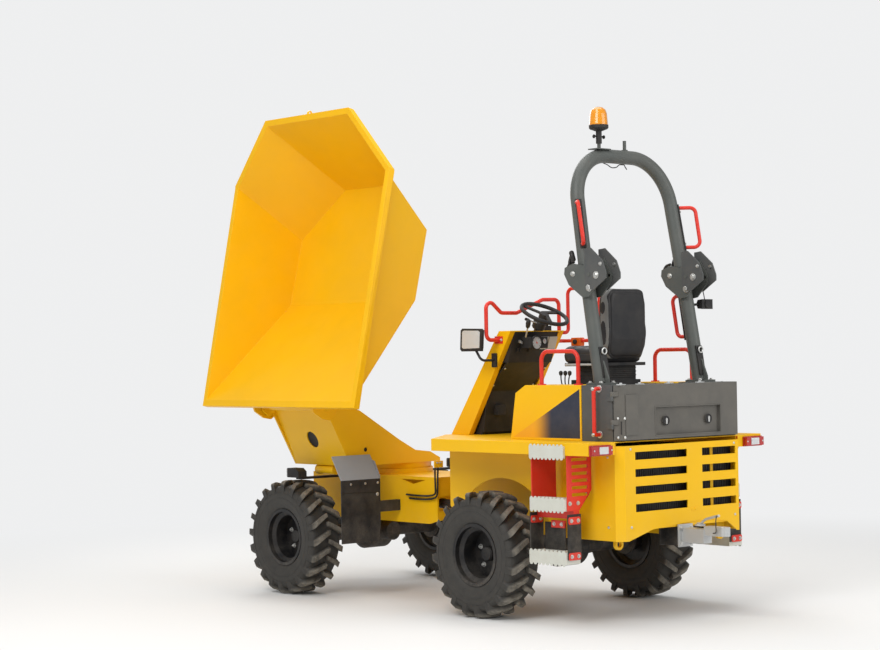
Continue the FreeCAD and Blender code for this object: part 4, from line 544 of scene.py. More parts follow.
def roundedLine(points, steps=6):
    # a smooth line through the given places
    line = []
    for number in range(len(points) - 1):
        before = points[max(number - 1, 0)]
        start, stop = points[number], points[number + 1]
        after = points[min(number + 2, len(points) - 1)]
        for step in range(steps):
            t = step / steps
            line.append(0.5 * ((2 * start) + (stop - before) * t + (2 * before - 5 * start + 4 * stop - after) * t * t
                               + (3 * start - before - 3 * stop + after) * t ** 3))
    return line + [points[-1]]


def addTube(shape, line, radius, sides=12, closed=False):
    # a round tube along a line of places
    forward, across, over = sideAxes(line[1] - line[0])
    rings = []
    for number, place in enumerate(line):
        if closed:
            heading = (line[(number + 1) % len(line)] - line[number - 1]).normalized()
        else:
            heading = (line[min(number + 1, len(line) - 1)] - line[max(number - 1, 0)]).normalized()
        across = (across - heading * across.dot(heading)).normalized()
        over = heading.cross(across)
        rings.append([shape.verts.new(place + (across * math.cos(math.tau * side / sides)
                                               + over * math.sin(math.tau * side / sides)) * radius)
                      for side in range(sides)])
    pairs = list(zip(rings, rings[1:])) + ([(rings[-1], rings[0])] if closed else [])
    for low, high in pairs:
        for side in range(sides):
            after = (side + 1) % sides
            shape.faces.new((low[side], low[after], high[after], high[side]))
    if not closed:
        shape.faces.new(list(reversed(rings[0])))
        shape.faces.new(rings[-1])


random.seed(14)

print("tyres and wheel nuts")
tyreForm = {
    # distance across from the middle, radius: half of the carcass from bead to crown
    "carcass": [(0.104, 0.205), (0.110, 0.214), (0.119, 0.222), (0.126, 0.238), (0.133, 0.262), (0.1375, 0.290),
                (0.139, 0.318), (0.1365, 0.344), (0.130, 0.362), (0.119, 0.374), (0.098, 0.3810), (0.060, 0.3845),
                (0.020, 0.3855)],
    "turns": 100, "lugs": 20, "lugTop": 0.4222,
    # across, height under the lug's top, offset along the tread, half width on top, radius of its foot
    "lugRows": [(-0.004, 0.0006, -0.040, 0.0150, 0.377), (0.030, 0.0, -0.024, 0.0165, 0.377),
                (0.066, 0.0008, -0.004, 0.0180, 0.375), (0.098, 0.0030, 0.015, 0.0200, 0.371),
                (0.121, 0.0080, 0.029, 0.0215, 0.363), (0.1345, 0.0200, 0.037, 0.0220, 0.350),
                (0.1398, 0.0480, 0.041, 0.0205, 0.334)],
    "lugFoot": 0.0065, "ribs": [(0.1372, 0.292, 0.0022), (0.1385, 0.333, 0.0018)],
}


def tyreMesh(mirror, phase):
    # the wheel's axis is Y, and the tread runs the other way round when mirrored
    shape = bmesh.new()
    half = tyreForm["carcass"]
    outline = [(-across, radius) for across, radius in half] + [(across, radius) for across, radius in reversed(half)]
    turns = tyreForm["turns"]
    rings = []
    for number in range(turns):
        angle = math.tau * number / turns
        rings.append([shape.verts.new((radius * math.cos(angle), across, radius * math.sin(angle)))
                      for across, radius in outline])
    for number in range(turns):
        one, two = rings[number], rings[(number + 1) % turns]
        for row in range(len(outline) - 1):
            shape.faces.new((one[row], one[row + 1], two[row + 1], two[row]))
        shape.faces.new((one[-1], one[0], two[0], two[-1]))
    for side in (-1, 1):
        for number in range(tyreForm["lugs"]):
            middle = phase + math.tau * (number + (0.5 if side > 0 else 0)) / tyreForm["lugs"]
            rows = []
            for across, drop, offset, halfWidth, foot in tyreForm["lugRows"]:
                top = tyreForm["lugTop"] - drop
                wide = halfWidth + tyreForm["lugFoot"]
                row = []
                for radius, reach in ((foot, -wide), (top, -halfWidth), (top, halfWidth), (foot, wide)):
                    angle = middle + (offset + reach) / 0.4222 * mirror
                    row.append(shape.verts.new((radius * math.cos(angle), across * side, radius * math.sin(angle))))
                rows.append(row)
            for one, two in zip(rows, rows[1:]):
                for corner in range(4):
                    after = (corner + 1) % 4
                    shape.faces.new((one[corner], one[after], two[after], two[corner]))
            shape.faces.new(list(reversed(rows[0])))
            shape.faces.new(rows[-1])
    for side in (-1, 1):
        for across, radius, rise in tyreForm["ribs"]:
            line = [Vector((radius * math.cos(math.tau * step / 90), across * side,
                            radius * math.sin(math.tau * step / 90))) for step in range(90)]
            addTube(shape, line, rise, 6, closed=True)
    bmesh.ops.recalc_face_normals(shape, faces=shape.faces)
    mesh = bpy.data.meshes.new("tyreTread")
    shape.to_mesh(mesh)
    shape.free()
    mesh.materials.append(paint["tyreRubber"])
    mesh.shade_smooth()
    mesh.set_sharp_from_angle(angle=math.radians(34))
    return mesh


wheelNuts = {"count": 5, "circle": 0.104, "radius": 0.0125, "height": 0.014}
treadPhase = {"front": 0.13, "rear": 0.29}
for end in ("front", "rear"):
    for side, out in (("left", 1), ("right", -1)):
        low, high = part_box(f"tyre_{end}_{side}")
        hub = (low + high) / 2
        body = f"wheel_{end}_{side}"
        tread = bpy.data.objects.new(f"treaded_{end}_{side}", tyreMesh(out, treadPhase[end]))
        tread.location = hub
        bpy.context.scene.collection.objects.link(tread)
        bevelled = tread.modifiers.new("wornEdges", "BEVEL")
        bevelled.width = 0.0022
        bevelled.segments = 1
        bevelled.limit_method = "ANGLE"
        bevelled.angle_limit = math.radians(42)
        bevelled.use_clamp_overlap = True
        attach(tread, body)
        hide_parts(f"tyre_{end}_{side}")
        outward = Vector((0, out, 0))
        nutShape = bmesh.new()
        for number in range(wheelNuts["count"]):
            angle = math.tau * number / wheelNuts["count"] + 0.4
            start = hub + Vector((math.cos(angle), 0, math.sin(angle))) * wheelNuts["circle"] + outward * 0.2
            seat, facing = surfaceAt(f"rim_{end}_{side}", start, -outward)
            addBolt(nutShape, seat, outward, wheelNuts["radius"], wheelNuts["height"])
            addTurned(nutShape, seat, outward, [(0, 0.0045), (0.022, 0.0045), (0.0235, 0.0036)], 10)
        addPiece(f"wheelNuts_{end}_{side}", nutShape, body, "zincBolt")

print("steps, lamps and rear panel")
steps = {
    # bottom of each tread, its height, its outer side and the ends along the machine
    "treads": [(1090, 78, 868, -853, -540), (752, 78, 868, -853, -540), (412, 78, 868, -861, -530)],
    "toothPitch": 34, "toothDepth": 13,
    # clamp plates on the straps: back face, bottom, top
    "clamps": [(-530, 664, 712), (-872, 668, 716), (-872, 440, 488)], "clampFrom": 744, "clampTo": 849,
    "plateBolts": (748, 822), "flap": (-745, -560, 470, 668), "rubberThick": 9, "flapClamp": (-745, -625),
}
for side, out in (("left", 1), ("right", -1)):
    grips, clamps, bolts, flap = bmesh.new(), bmesh.new(), bmesh.new(), bmesh.new()
    for low, tall, outer, back, front in steps["treads"]:
        # a saw-edged strip stands on the tread's outer face and its top edges
        count = int((front - back) / steps["toothPitch"])
        pitch = (front - back) / count
        for edge, depth in ((low + tall - 1, steps["toothDepth"]), (low + 1, -steps["toothDepth"])):
            for number in range(count):
                start = back + pitch * number
                corners = [(start + pitch * 0.10, edge), (start + pitch * 0.90, edge),
                           (start + pitch * 0.74, edge + depth * 0.8), (start + pitch * 0.5, edge + depth),
                           (start + pitch * 0.26, edge + depth * 0.8)]
                addPrism(grips, [spot(x, (outer - 3.2) * out, z) for x, z in corners],
                         Vector((0, 0.003 * out, 0)))
        for row in range(2):
            for number in range(count - 1):
                place = spot(back + pitch * (number + 1), (outer - 30 - 38 * row) * out, low + tall - 0.5)
                addTurned(grips, place, (0, 0, 1), [(0, 0.0075), (0.0045, 0.0058), (0.0046, 0.0036),
                                                    (0.0012, 0.0034)], 10)
    for back, low, high in steps["clamps"]:
        near, far = steps["clampFrom"] * out, steps["clampTo"] * out
        addPrism(clamps, [spot(back + 1, y, z) for y, z in (
            (near, low + 8), (near + 8 * out, low), (far - 8 * out, low), (far, low + 8), (far, high - 8),
            (far - 8 * out, high), (near + 8 * out, high), (near, high - 8))], Vector((-0.008, 0, 0)))
        for y in (near + 22 * out, far - 22 * out):
            addBolt(bolts, spot(back - 6.5, y, (low + high) / 2), (-1, 0, 0), 0.0095, 0.008)
    back, front, low, high = steps["flap"]
    addPrism(flap, [spot(x, 742 * out, z) for x, z in (
        (back, low), (front, low), (front, high), (back, high))], Vector((0, steps["rubberThick"] / 1000 * out, 0)))
    back, front = steps["flapClamp"]
    addPrism(clamps, [spot(x, 740 * out, z) for x, z in (
        (back, high - 34), (front, high - 34), (front, high + 14), (back, high + 14))],
        Vector((0, 0.018 * out, 0)))
    for x in (back + 26, front - 26):
        addBolt(bolts, spot(x, 756 * out, high - 10), (0, out, 0), 0.0095, 0.009)
    for y in steps["plateBolts"]:
        seat, facing = surfaceAt("step_frames", spot(-1000, y * out, 801), (1, 0, 0))
        addBolt(bolts, seat, (-1, 0, 0), 0.0100, 0.009)
    addPiece(f"stepGrip_{side}", grips, "rear_chassis", "gripSheet")
    addPiece(f"strapClamps_{side}", clamps, "rear_chassis", "redPaint", bevel=0.0015)
    addPiece(f"stepBolts_{side}", bolts, "rear_chassis", "zincBolt")
    addPiece(f"stepFlap_{side}", flap, "rear_chassis", "strapRubber", bevel=0.002)

    lens, frameBolts = bmesh.new(), bmesh.new()
    outer = 840 * out
    # a pale clear window on the back face of each tail lamp: painted highlight on the red lamp
    addPrism(lens, [spot(-1094.5, outer - 55 * out, 1119), spot(-1094.5, outer - 135 * out, 1119),
                    spot(-1094.5, outer - 135 * out, 1165), spot(-1094.5, outer - 55 * out, 1165)],
             Vector((-0.006, 0, 0)))
    for y in (outer - 12 * out, outer - 170 * out):
        addButton(frameBolts, spot(-1094, y, 1142), (-1, 0, 0), 0.006)
    addPiece(f"tailLampHighlight_{side}", lens, "rear_chassis", "clearLens", bevel=0.0025)
    addPiece(f"tailLampScrews_{side}", frameBolts, "rear_chassis", "zincBolt")

grille = {"rivets": [(120, 690), (-145, 690)], "flatBolts": [(505, 1140), (505, 640), (-515, 1140), (-515, 660)]}
panelBolts, keyPlate = bmesh.new(), bmesh.new()
for y, z in grille["flatBolts"]:
    seat, facing = surfaceAt("grille_panel", spot(-1300, y, z), (1, 0, 0))
    addButton(panelBolts, seat, (-1, 0, 0), 0.009)
seat, facing = surfaceAt("grille_panel", spot(-1300, -110, 722), (1, 0, 0))
addPrism(keyPlate, [seat + Vector((0, y, z)) for y, z in (
    (-0.036, -0.010), (0.036, -0.010), (0.040, 0), (0.036, 0.010), (-0.036, 0.010), (-0.040, 0))],
    Vector((-0.003, 0, 0)))
addTurned(keyPlate, seat, (-1, 0, 0), [(0, 0.008), (0.006, 0.008), (0.007, 0.006)], 18)
for start, heading in ((spot(-790, 900, 860), (0, -1, 0)), (spot(-300, 900, 1120), (0, -1, 0)),
                       (spot(-985, 900, 1090), (0, -1, 0)), (spot(-985, 900, 640), (0, -1, 0))):
    for mirror in (1, -1):
        place = Vector((start.x, axleSpot.y + (start.y - axleSpot.y) * mirror, start.z))
        seat, facing = surfaceAt("side_skins", place, Vector(heading) * mirror)
        addButton(panelBolts, seat, facing, 0.009)
screenLook = {"x": -1043, "low": 625, "high": 1122, "half": 545, "fins": 62}
screen, screenBars = bmesh.new(), bmesh.new()
addBlock(screen, (screenLook["x"], -screenLook["half"], screenLook["low"]),
         (screenLook["x"] + 5, screenLook["half"], screenLook["high"]))
for number in range(screenLook["fins"]):
    y = -screenLook["half"] + (number + 0.5) * 2 * screenLook["half"] / screenLook["fins"]
    addBlock(screen, (screenLook["x"] - 5, y - 1.5, screenLook["low"]), (screenLook["x"] + 1, y + 1.5, screenLook["high"]))
for y in (-338, -160):
    addBlock(screenBars, (screenLook["x"] - 9, y - 14, screenLook["low"]), (screenLook["x"] + 1, y + 14, screenLook["high"]))
addPiece("coolerScreen", screen, "rear_chassis", "blackPaint")
addPiece("screenBars", screenBars, "rear_chassis", "yellowPaint", bevel=0.001)
addPiece("panelButtons", panelBolts, "rear_chassis", "zincBolt")
addPiece("grilleLatch", keyPlate, "rear_chassis", "yellowPaint", bevel=0.0008)

print("tow hitch fittings")
hitchFittings = {"lever": [(-1250, 6, 640), (-1290, 10, 668), (-1350, 18, 684), (-1420, 26, 700)],
                 "springTop": 652, "chain": [(-1402, 30, 700), (-1420, 60, 650), (-1412, 48, 596), (-1380, 40, 585)]}
lever, leverGrip, pinHead = bmesh.new(), bmesh.new(), bmesh.new()
addTube(lever, roundedLine([spot(*place) for place in hitchFittings["lever"]]), 0.0085)
addTurned(lever, spot(-1236, 0, 624), (0, 0, 1), [(0, 0.034), (0.010, 0.034), (0.014, 0.022), (0.020, 0.022),
                                                   (0.022, 0.012)], 24)
for x, y in ((-1130, 52), (-1130, -52)):
    for z in (505, 606):
        addBolt(pinHead, spot(-1114.5, y, z), (-1, 0, 0), 0.011)
addTube(leverGrip, roundedLine([spot(*place) for place in hitchFittings["chain"]]), 0.0035, 8)
addPiece("hitchLever", lever, "rear_chassis", "galvanised", smooth=40)
addPiece("hitchBolts", pinHead, "rear_chassis", "zincBolt")
addPiece("hitchSafetyWire", leverGrip, "rear_chassis", "blackPlastic", smooth=40)

print("front chassis fittings")
guardLook = {
    # across from the inner edge, height: bright bolts on the rear face and the fold
    "bolts": [(522, 836), (640, 836), (775, 836), (522, 752)],
    "studs": [(560, 700), (640, 560), (600, 520), (700, 520), (640, 490)],
    "foldLow": 770, "foldHigh": 778,
}
for side, out in (("left", 1), ("right", -1)):
    bolts, studs, strip, cap, lens = bmesh.new(), bmesh.new(), bmesh.new(), bmesh.new(), bmesh.new()
    for y, z in guardLook["bolts"]:
        seat, facing = surfaceAt("mudguards", spot(1200, y * out, z), (1, 0, 0))
        addBolt(bolts, seat, (-1, 0, 0), 0.0095, 0.008)
    for y, z in guardLook["studs"]:
        seat, facing = surfaceAt("mudguards", spot(1200, y * out, z), (1, 0, 0))
        addButton(studs, seat, (-1, 0, 0), 0.006)
    seat, facing = surfaceAt("mudguards", spot(1200, 640 * out, guardLook["foldLow"]), (1, 0, 0))
    face = seat.x
    addPrism(strip, [Vector((face - 0.0005, spot(0, y * out, 0).y, z / 1000)) for y, z in (
        (506, guardLook["foldLow"]), (856, guardLook["foldLow"] + 6), (856, 862), (506, 862))],
        Vector((-0.004, 0, 0)))
    addPiece(f"guardBolts_{side}", bolts, "front_chassis", "zincBolt")
    addPiece(f"guardStuds_{side}", studs, "front_chassis", "blackPaint")
    addPiece(f"guardOverlap_{side}", strip, "front_chassis", "blackPlastic", bevel=0.001)

hoses = {
    # route and radius: rubber hoses from the rear frame to the front frame, bent round the joint between them
    "routes": [([(944, 352, 985), (960, 352, 962), (966, 350, 900), (968, 346, 820), (985, 336, 762),
                 (1060, 322, 742), (1200, 318, 738), (1330, 312, 740)], 7.0),
               ([(944, 322, 985), (960, 322, 960), (968, 322, 890), (972, 322, 800), (992, 318, 738),
                 (1075, 316, 716), (1200, 312, 712), (1300, 309, 714)], 7.0)],
    "plate": (936, 296, 378, 952, 1000),
}
hoseEnds, hosePlate = bmesh.new(), bmesh.new()
for number, (route, radius) in enumerate(hoses["routes"]):
    line = roundedLine([spot(*place) for place in route], 8)
    hoseShape = bmesh.new()
    addTube(hoseShape, line, radius / 1000, 12)
    hose = addPiece(f"ramHose_{number}", hoseShape, None, "strapRubber", smooth=50)
    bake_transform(hose)
    heading = (line[1] - line[0]).normalized()
    addTurned(hoseEnds, line[0] - heading * 0.010, heading, [
        (0, 0.0105), (0.014, 0.0105), (0.016, 0.0115), (0.036, 0.0115), (0.038, 0.0095)], 12)
x, near, far, low, high = hoses["plate"]
addPrism(hosePlate, [spot(x, near, low), spot(x, far, low), spot(x, far, high), spot(x, near, high)],
         Vector((0.010, 0, 0)))
addPiece("hosePlate", hosePlate, "rear_chassis", "yellowPaint", bevel=0.0015)
addPiece("hoseUnions", hoseEnds, "rear_chassis", "zincBolt", smooth=35)

bushLook = {"places": [(500, 117, 17), (455, 44, 14)], "base": 955, "cheekBack": 1565, "cheekThick": 16}
bushes = bmesh.new()
for along, up, radius in bushLook["places"]:
    place = spot(bushLook["cheekBack"] + 5, along, bushLook["base"] + up)
    addTurned(bushes, place, (1, 0, 0), [(0, (radius - 0.4) / 1000), (0.006, (radius - 0.4) / 1000)], 24)
addPiece("cheekPlugs", bushes, "swivel", "blackPlastic")
# a dark disc with the strap rubber finish, set behind the hole in the front slope, square to the sheet: painted shade
# that keeps the opening dark inside
slopeHoleShade = {"place": (1900, 721, 1149), "outward": (0, 0.9025, -0.4305), "radius": 0.072, "thick": 0.006}
holeShadeDisc = bmesh.new()
addTurned(holeShadeDisc, spot(*slopeHoleShade["place"]), [-part for part in slopeHoleShade["outward"]],
          [(0, slopeHoleShade["radius"]), (slopeHoleShade["thick"], slopeHoleShade["radius"])], 36)
addPiece("slopeHoleShade", holeShadeDisc, "swivel", "strapRubber", smooth=40)

print("operator's station")
dash = {
    "gaugeAt": (78, 1838), "gaugeRadius": 0.043, "smallGaugeAt": (1, 1850), "smallRadius": 0.019,
    "plates": [(-92, 1838), (-178, 1838)], "plateWide": 0.080, "plateTall": 0.094,
    "knobBase": (150, 206, 1880), "knobTop": (60, 268, 1968),
    "numbers": 9,
}
toDash = Vector((1, 0, 0))


def onDash(y, z):
    place, facing = surfaceAt("dash_panel", spot(-300, y, z), toDash)
    return place, facing


bezel, dialFace, needle, ticks = bmesh.new(), bmesh.new(), bmesh.new(), bmesh.new()
for (y, z), radius in ((dash["gaugeAt"], dash["gaugeRadius"]), (dash["smallGaugeAt"], dash["smallRadius"])):
    seat, facing = onDash(y, z)
    forward, across, over = sideAxes(facing)
    addTurned(bezel, seat, facing, [(-0.004, radius * 1.16), (0.010, radius * 1.16), (0.012, radius * 1.08),
                                    (0.012, radius * 1.0), (0.008, radius * 0.99)], 36)
    addTurned(dialFace, seat + facing * 0.0085, facing, [(0, radius * 0.985), (0.0006, radius * 0.985)], 36)
    for number in range(dash["numbers"]):
        angle = math.radians(-130 + 260 * number / (dash["numbers"] - 1)) + math.pi / 2
        ray = across * math.cos(angle) + over * math.sin(angle)
        flat = facing.cross(ray) * radius * 0.028
        start = seat + facing * 0.0092 + ray * radius * 0.72
        addPrism(ticks, [start - flat, start + flat, start + flat + ray * radius * 0.20,
                         start - flat + ray * radius * 0.20], facing * 0.0005)
    ray = (across * -0.5 + over * 0.86).normalized()
    flat = facing.cross(ray) * radius * 0.04
    start = seat + facing * 0.0098
    addPrism(needle, [start - flat, start + flat, start + ray * radius * 0.72], facing * 0.0006)
    addTurned(needle, start, facing, [(0, radius * 0.12), (0.002, radius * 0.10)], 14)
addPiece("gaugeBezels", bezel, "rear_chassis", "blackPlastic", smooth=35)
addPiece("gaugeDials", dialFace, "rear_chassis", "paleEnamel")
addPiece("gaugeTicks", ticks, "rear_chassis", "blackPaint")
addPiece("gaugeNeedles", needle, "rear_chassis", "redPaint")

plates, switches, keyMetal = bmesh.new(), bmesh.new(), bmesh.new()
for y, z in dash["plates"]:
    seat, facing = onDash(y, z)
    forward, across, over = sideAxes(facing)
    wide, tall = dash["plateWide"] / 2, dash["plateTall"] / 2
    addPrism(plates, [seat - facing * 0.001 + across * x + over * y for x, y in (
        (-wide, -tall), (wide, -tall), (wide, tall), (-wide, tall))], facing * 0.005)
for number in range(3):
    seat, facing = onDash(150 - number * 26 - (60 if number == 2 else 0), 1790)
    forward, across, over = sideAxes(facing)
    addPrism(switches, [seat + across * x + over * y for x, y in (
        (-0.009, -0.014), (0.009, -0.014), (0.009, 0.014), (-0.009, 0.014))], facing * 0.009)
seat, facing = onDash(150, 1850)
addTurned(keyMetal, seat, facing, [(0, 0.012), (0.010, 0.012), (0.011, 0.009)], 20)
addPrism(keyMetal, [seat + facing * 0.011 + Vector((0, y, z)) for y, z in (
    (-0.0018, -0.009), (0.0018, -0.009), (0.0018, 0.009), (-0.0018, 0.009))], facing * 0.022)
addPiece("dashPlates", plates, "rear_chassis", "paleEnamel", bevel=0.001)
addPiece("dashSwitches", switches, "rear_chassis", "blackPlastic", bevel=0.002)
addPiece("starterKey", keyMetal, "rear_chassis", "zincBolt", smooth=35)

stalks, grips, redGrip = bmesh.new(), bmesh.new(), bmesh.new()
start, stop = spot(*dash["knobBase"]), spot(*dash["knobTop"])
stalkLine = roundedLine([start, start.lerp(stop, 0.45) + Vector((0, 0, -0.008)), stop])
addTube(stalks, stalkLine, 0.006)
heading = (stop - stalkLine[-3]).normalized()
addTurned(grips, stop - heading * 0.035, heading, [(0, 0.010), (0.010, 0.015), (0.040, 0.018), (0.062, 0.016),
                                                   (0.070, 0.010), (0.073, 0.002)], 20)
# the stalk switch clamped round the steering column, and the lamp switch beside it
columnLow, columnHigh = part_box("steering_column")
columnMiddle = (columnLow + columnHigh) / 2
addTurned(grips, columnMiddle + Vector((0.006, 0, -0.006)), Vector((-0.45, 0, 0.89)), [
    (-0.030, 0.040), (-0.022, 0.047), (0.020, 0.047), (0.030, 0.038)], 28)
addTube(stalks, roundedLine([columnMiddle, columnMiddle + Vector((-0.02, 0.075, 0.012)),
                             columnMiddle + Vector((-0.035, 0.150, 0.030))]), 0.0055)
addTurned(grips, columnMiddle + Vector((-0.033, 0.136, 0.026)), Vector((-0.09, 0.97, 0.2)), [
    (0, 0.007), (0.006, 0.010), (0.036, 0.011), (0.042, 0.007)], 16)
towerSeat, facing = surfaceAt("dash_tower", spot(285, -112, 2200), (0, 0, -1))
addPrism(grips, [towerSeat + Vector((x, y, -0.001)) for x, y in (
    (-0.026, -0.045), (0.026, -0.045), (0.026, 0.045), (-0.026, 0.045))], Vector((0, 0, 0.036)))
for y in (-0.024, 0.024):
    addTurned(grips, towerSeat + Vector((0, y, 0.034)), (0, 0, 1), [(0, 0.011), (0.014, 0.010), (0.016, 0.006)], 16)
addPiece("leverStalks", stalks, "rear_chassis", "galvanised", smooth=40)
addPiece("leverGrips", grips, "rear_chassis", "blackPlastic", bevel=0.0015, smooth=40)

seatLevers = {"places": [(-262, 268), (-292, 268), (-322, 268)], "tall": 72}
for number, place in enumerate(seatLevers["places"]):
    seat, facing = surfaceAt("seat_deck", spot(place[0], place[1], 1800), (0, 0, -1))
    tip = seat + Vector((0.012 - 0.012 * number, 0, seatLevers["tall"] / 1000))
    addTube(redGrip, roundedLine([seat - Vector((0, 0, 0.002)), seat.lerp(tip, 0.5) + Vector((0.004, 0, 0)), tip]), 0.0045)
    addTurned(redGrip, tip - Vector((0, 0, 0.006)), (0, 0, 1), [(0, 0.007), (0.008, 0.013), (0.022, 0.014),
                                                             (0.031, 0.009), (0.033, 0.002)], 18)
addPiece("seatLevers", redGrip, "rear_chassis", "blackPlastic", smooth=40)

kneeLook = {
    # outline seen from the side: a folded black panel between the posts, under the instruments
    "outline": [(332, 1703), (345, 1703), (556, 1506), (600, 1210), (588, 1206), (541, 1500)], "half": 214,
    "screws": [(380, 1659), (505, 1540)],
}
knee, kneeScrews = bmesh.new(), bmesh.new()
addPrism(knee, [spot(x, -kneeLook["half"], z) for x, z in kneeLook["outline"]],
         Vector((0, 2 * kneeLook["half"] / 1000, 0)))
for x, z in kneeLook["screws"]:
    for y in (-196, 196):
        addButton(kneeScrews, spot(x - 6, y, z), (-0.70, 0, -0.72), 0.008)
addPiece("kneePanel", knee, "rear_chassis", "blackPlastic", bevel=0.004)
addPiece("kneeScrews", kneeScrews, "rear_chassis", "zincBolt")

socketLook = {"middle": (170, -330, 1842), "half": (46, 24, 30)}
plugShape, plugCap = bmesh.new(), bmesh.new()
x, y, z = socketLook["middle"]
hx, hy, hz = socketLook["half"]
addBlock(plugShape, (x - hx, y - hy, z - hz), (x + hx, y + hy, z + hz))
addTurned(plugCap, spot(x, y + hy - 1, z), (0, 1, 0), [(0, 0.017), (0.012, 0.017), (0.015, 0.013)], 22)
addPiece("orangeSwitchBox", plugShape, "rear_chassis", "orangePlastic", bevel=0.006, smooth=40)
addPiece("orangeSwitchKnob", plugCap, "rear_chassis", "blackPlastic", smooth=40)

mirrorLow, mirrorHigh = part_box("mirror_head")
mirrorLook = {"inset": 0.014, "cap": 0.011}
glass, shell = bmesh.new(), bmesh.new()
width, tall = mirrorHigh.x - mirrorLow.x, mirrorHigh.z - mirrorLow.z
outline = [(0.09, 0.10), (0.05, 0.86), (0.14, 0.93), (0.86, 0.955), (0.93, 0.88), (0.955, 0.13), (0.88, 0.08)]
for shape, grow, base, deep in ((glass, -0.10, mirrorHigh.y - 0.0004, 0.0022), (shell, 0.0, mirrorLow.y + 0.0005, -0.012)):
    corners = [Vector((mirrorLow.x + width * (across + (across - 0.5) * grow),
                       base, mirrorLow.z + tall * (up + (up - 0.5) * grow))) for across, up in outline]
    addPrism(shape, corners, Vector((0, deep, 0)))
addTurned(shell, Vector(((mirrorLow.x + mirrorHigh.x) / 2, mirrorLow.y - 0.008, mirrorLow.z + tall * 0.42)),
          (0, -1, 0), [(0, 0.020), (0.010, 0.018), (0.018, 0.012), (0.020, 0.004)], 20)
addPiece("mirrorGlass", glass, "rear_chassis", "mirrorGlass")
addPiece("mirrorShell", shell, "rear_chassis", "blackPlastic", bevel=0.004, smooth=45)
footPlace, facing = surfaceAt("dash_tower", spot(400, 700, 1720), (0, -1, 0))
foot = bmesh.new()
addPrism(foot, [footPlace + Vector((x, -0.001, z)) for x, z in (
    (-0.022, -0.050), (0.022, -0.050), (0.022, 0.050), (-0.022, 0.050))], Vector((0, 0.020, 0)))
addPiece("mirrorFoot", foot, "rear_chassis", "blackPlastic", bevel=0.004)

print("roll bar and cover fittings")
pivot = {"x": -795, "z": 2272, "legY": 475}
barBolts, handlePads = bmesh.new(), bmesh.new()
lowerPads, lowerBolts, rings = bmesh.new(), bmesh.new(), bmesh.new()
lean = 0.172


def legMiddle(z, side):
    return spot(-830 + (z - 1570) * lean, pivot["legY"] * side, z)


for side in (1, -1):
    for outer in (1, -1):
        y = pivot["legY"] * side + 78 * outer
        heading = Vector((0, outer, 0))
        for x, z, radius in ((pivot["x"] + 4, pivot["z"] - 84, 0.019), (pivot["x"] + 150, pivot["z"] + 10, 0.013)):
            seat, facing = surfaceAt("rops_lower", spot(x, y + 120 * outer, z), -heading)
            addBolt(lowerBolts, seat, heading, radius, 0.013)
    # the locking lever's curved handle at the front of each hinge
    front = spot(pivot["x"] + 196, pivot["legY"] * side + 2, pivot["z"] + 30)
    line = [front + Vector((dx, 0, dz)) / 1000 for dx, dz in (
        (0, 62), (40, 50), (62, 14), (60, -34), (34, -66), (-6, -72))]
    addTube(lowerPads, roundedLine(line), 0.010, 12)
    # foot bolts, the gusset's eye bolt and a plate behind each foot
    for dx, dy in ((-58, -58), (-58, 58), (38, -58), (38, 58)):
        seat, facing = surfaceAt("rops_lower", spot(-830 + dx, 485 * side + dy, 1700), (0, 0, -1))
        addBolt(lowerBolts, seat, (0, 0, 1), 0.011, 0.009)
    eye = legMiddle(1772, side) + Vector((-0.062, 0, 0))
    ring = [eye + Vector((0, 0.020 * math.cos(math.tau * step / 20), 0.020 * math.sin(math.tau * step / 20)))
            for step in range(20)]
    addTube(rings, ring, 0.0055, 10, closed=True)
    addTurned(rings, eye + Vector((0.024, 0, 0)), (-1, 0, 0), [(-0.010, 0.007), (0.006, 0.007)], 12)
    addPrism(lowerPads, [legMiddle(1600, side) + Vector((-0.052, dy, 0)) for dy in (-0.030, 0.030)]
             + [legMiddle(1800, side) + Vector((-0.052, dy, 0)) for dy in (0.030, -0.030)], Vector((0.012, 0, 0)))
    # the pad between each bow handle and its leg
    turned = math.radians(42)
    away = Vector((-math.cos(turned), math.sin(turned) * side, 0))
    across = Vector((away.y, -away.x, 0))
    bottom, top = [spot(-830 + (z - 1570) * lean, (475 - 28 * (z - 2350) / 735) * side, z) for z in (2452, 2776)]
    addPrism(handlePads, [bottom + away * 0.045 + across * 0.022, bottom + away * 0.045 - across * 0.022,
                          top + away * 0.045 - across * 0.022, top + away * 0.045 + across * 0.022], away * 0.010)
    for place in (bottom.lerp(top, 0.16), bottom.lerp(top, 0.84)):
        addBolt(barBolts, place + away * 0.054, away, 0.008, 0.006)
middlePad = [legMiddle(1838, -1), legMiddle(2166, -1)]
addPrism(lowerPads, [middlePad[0] + Vector((0.046, 0.020, 0)), middlePad[0] + Vector((0.046, -0.020, 0)),
                     middlePad[1] + Vector((0.046, -0.020, 0)), middlePad[1] + Vector((0.046, 0.020, 0))],
         Vector((0.009, 0, 0)))
bracket = {
    # the slanted clamp plates behind each hinge, seen from the side, and their pins
    "outline": [(-758, 2440), (-816, 2446), (-918, 2361), (-950, 2282), (-950, 2243), (-832, 2168), (-760, 2196)],
    "offsets": (63, -63), "thick": 8, "pin": (-862, 2266), "knob": (-903, 2338),
    "ring": [(-604, 2402), (-588, 2350), (-606, 2296), (-650, 2262), (-704, 2256)], "bandLow": 2326, "bandHigh": 2334,
}
plates, leverRings, pins = bmesh.new(), bmesh.new(), bmesh.new()
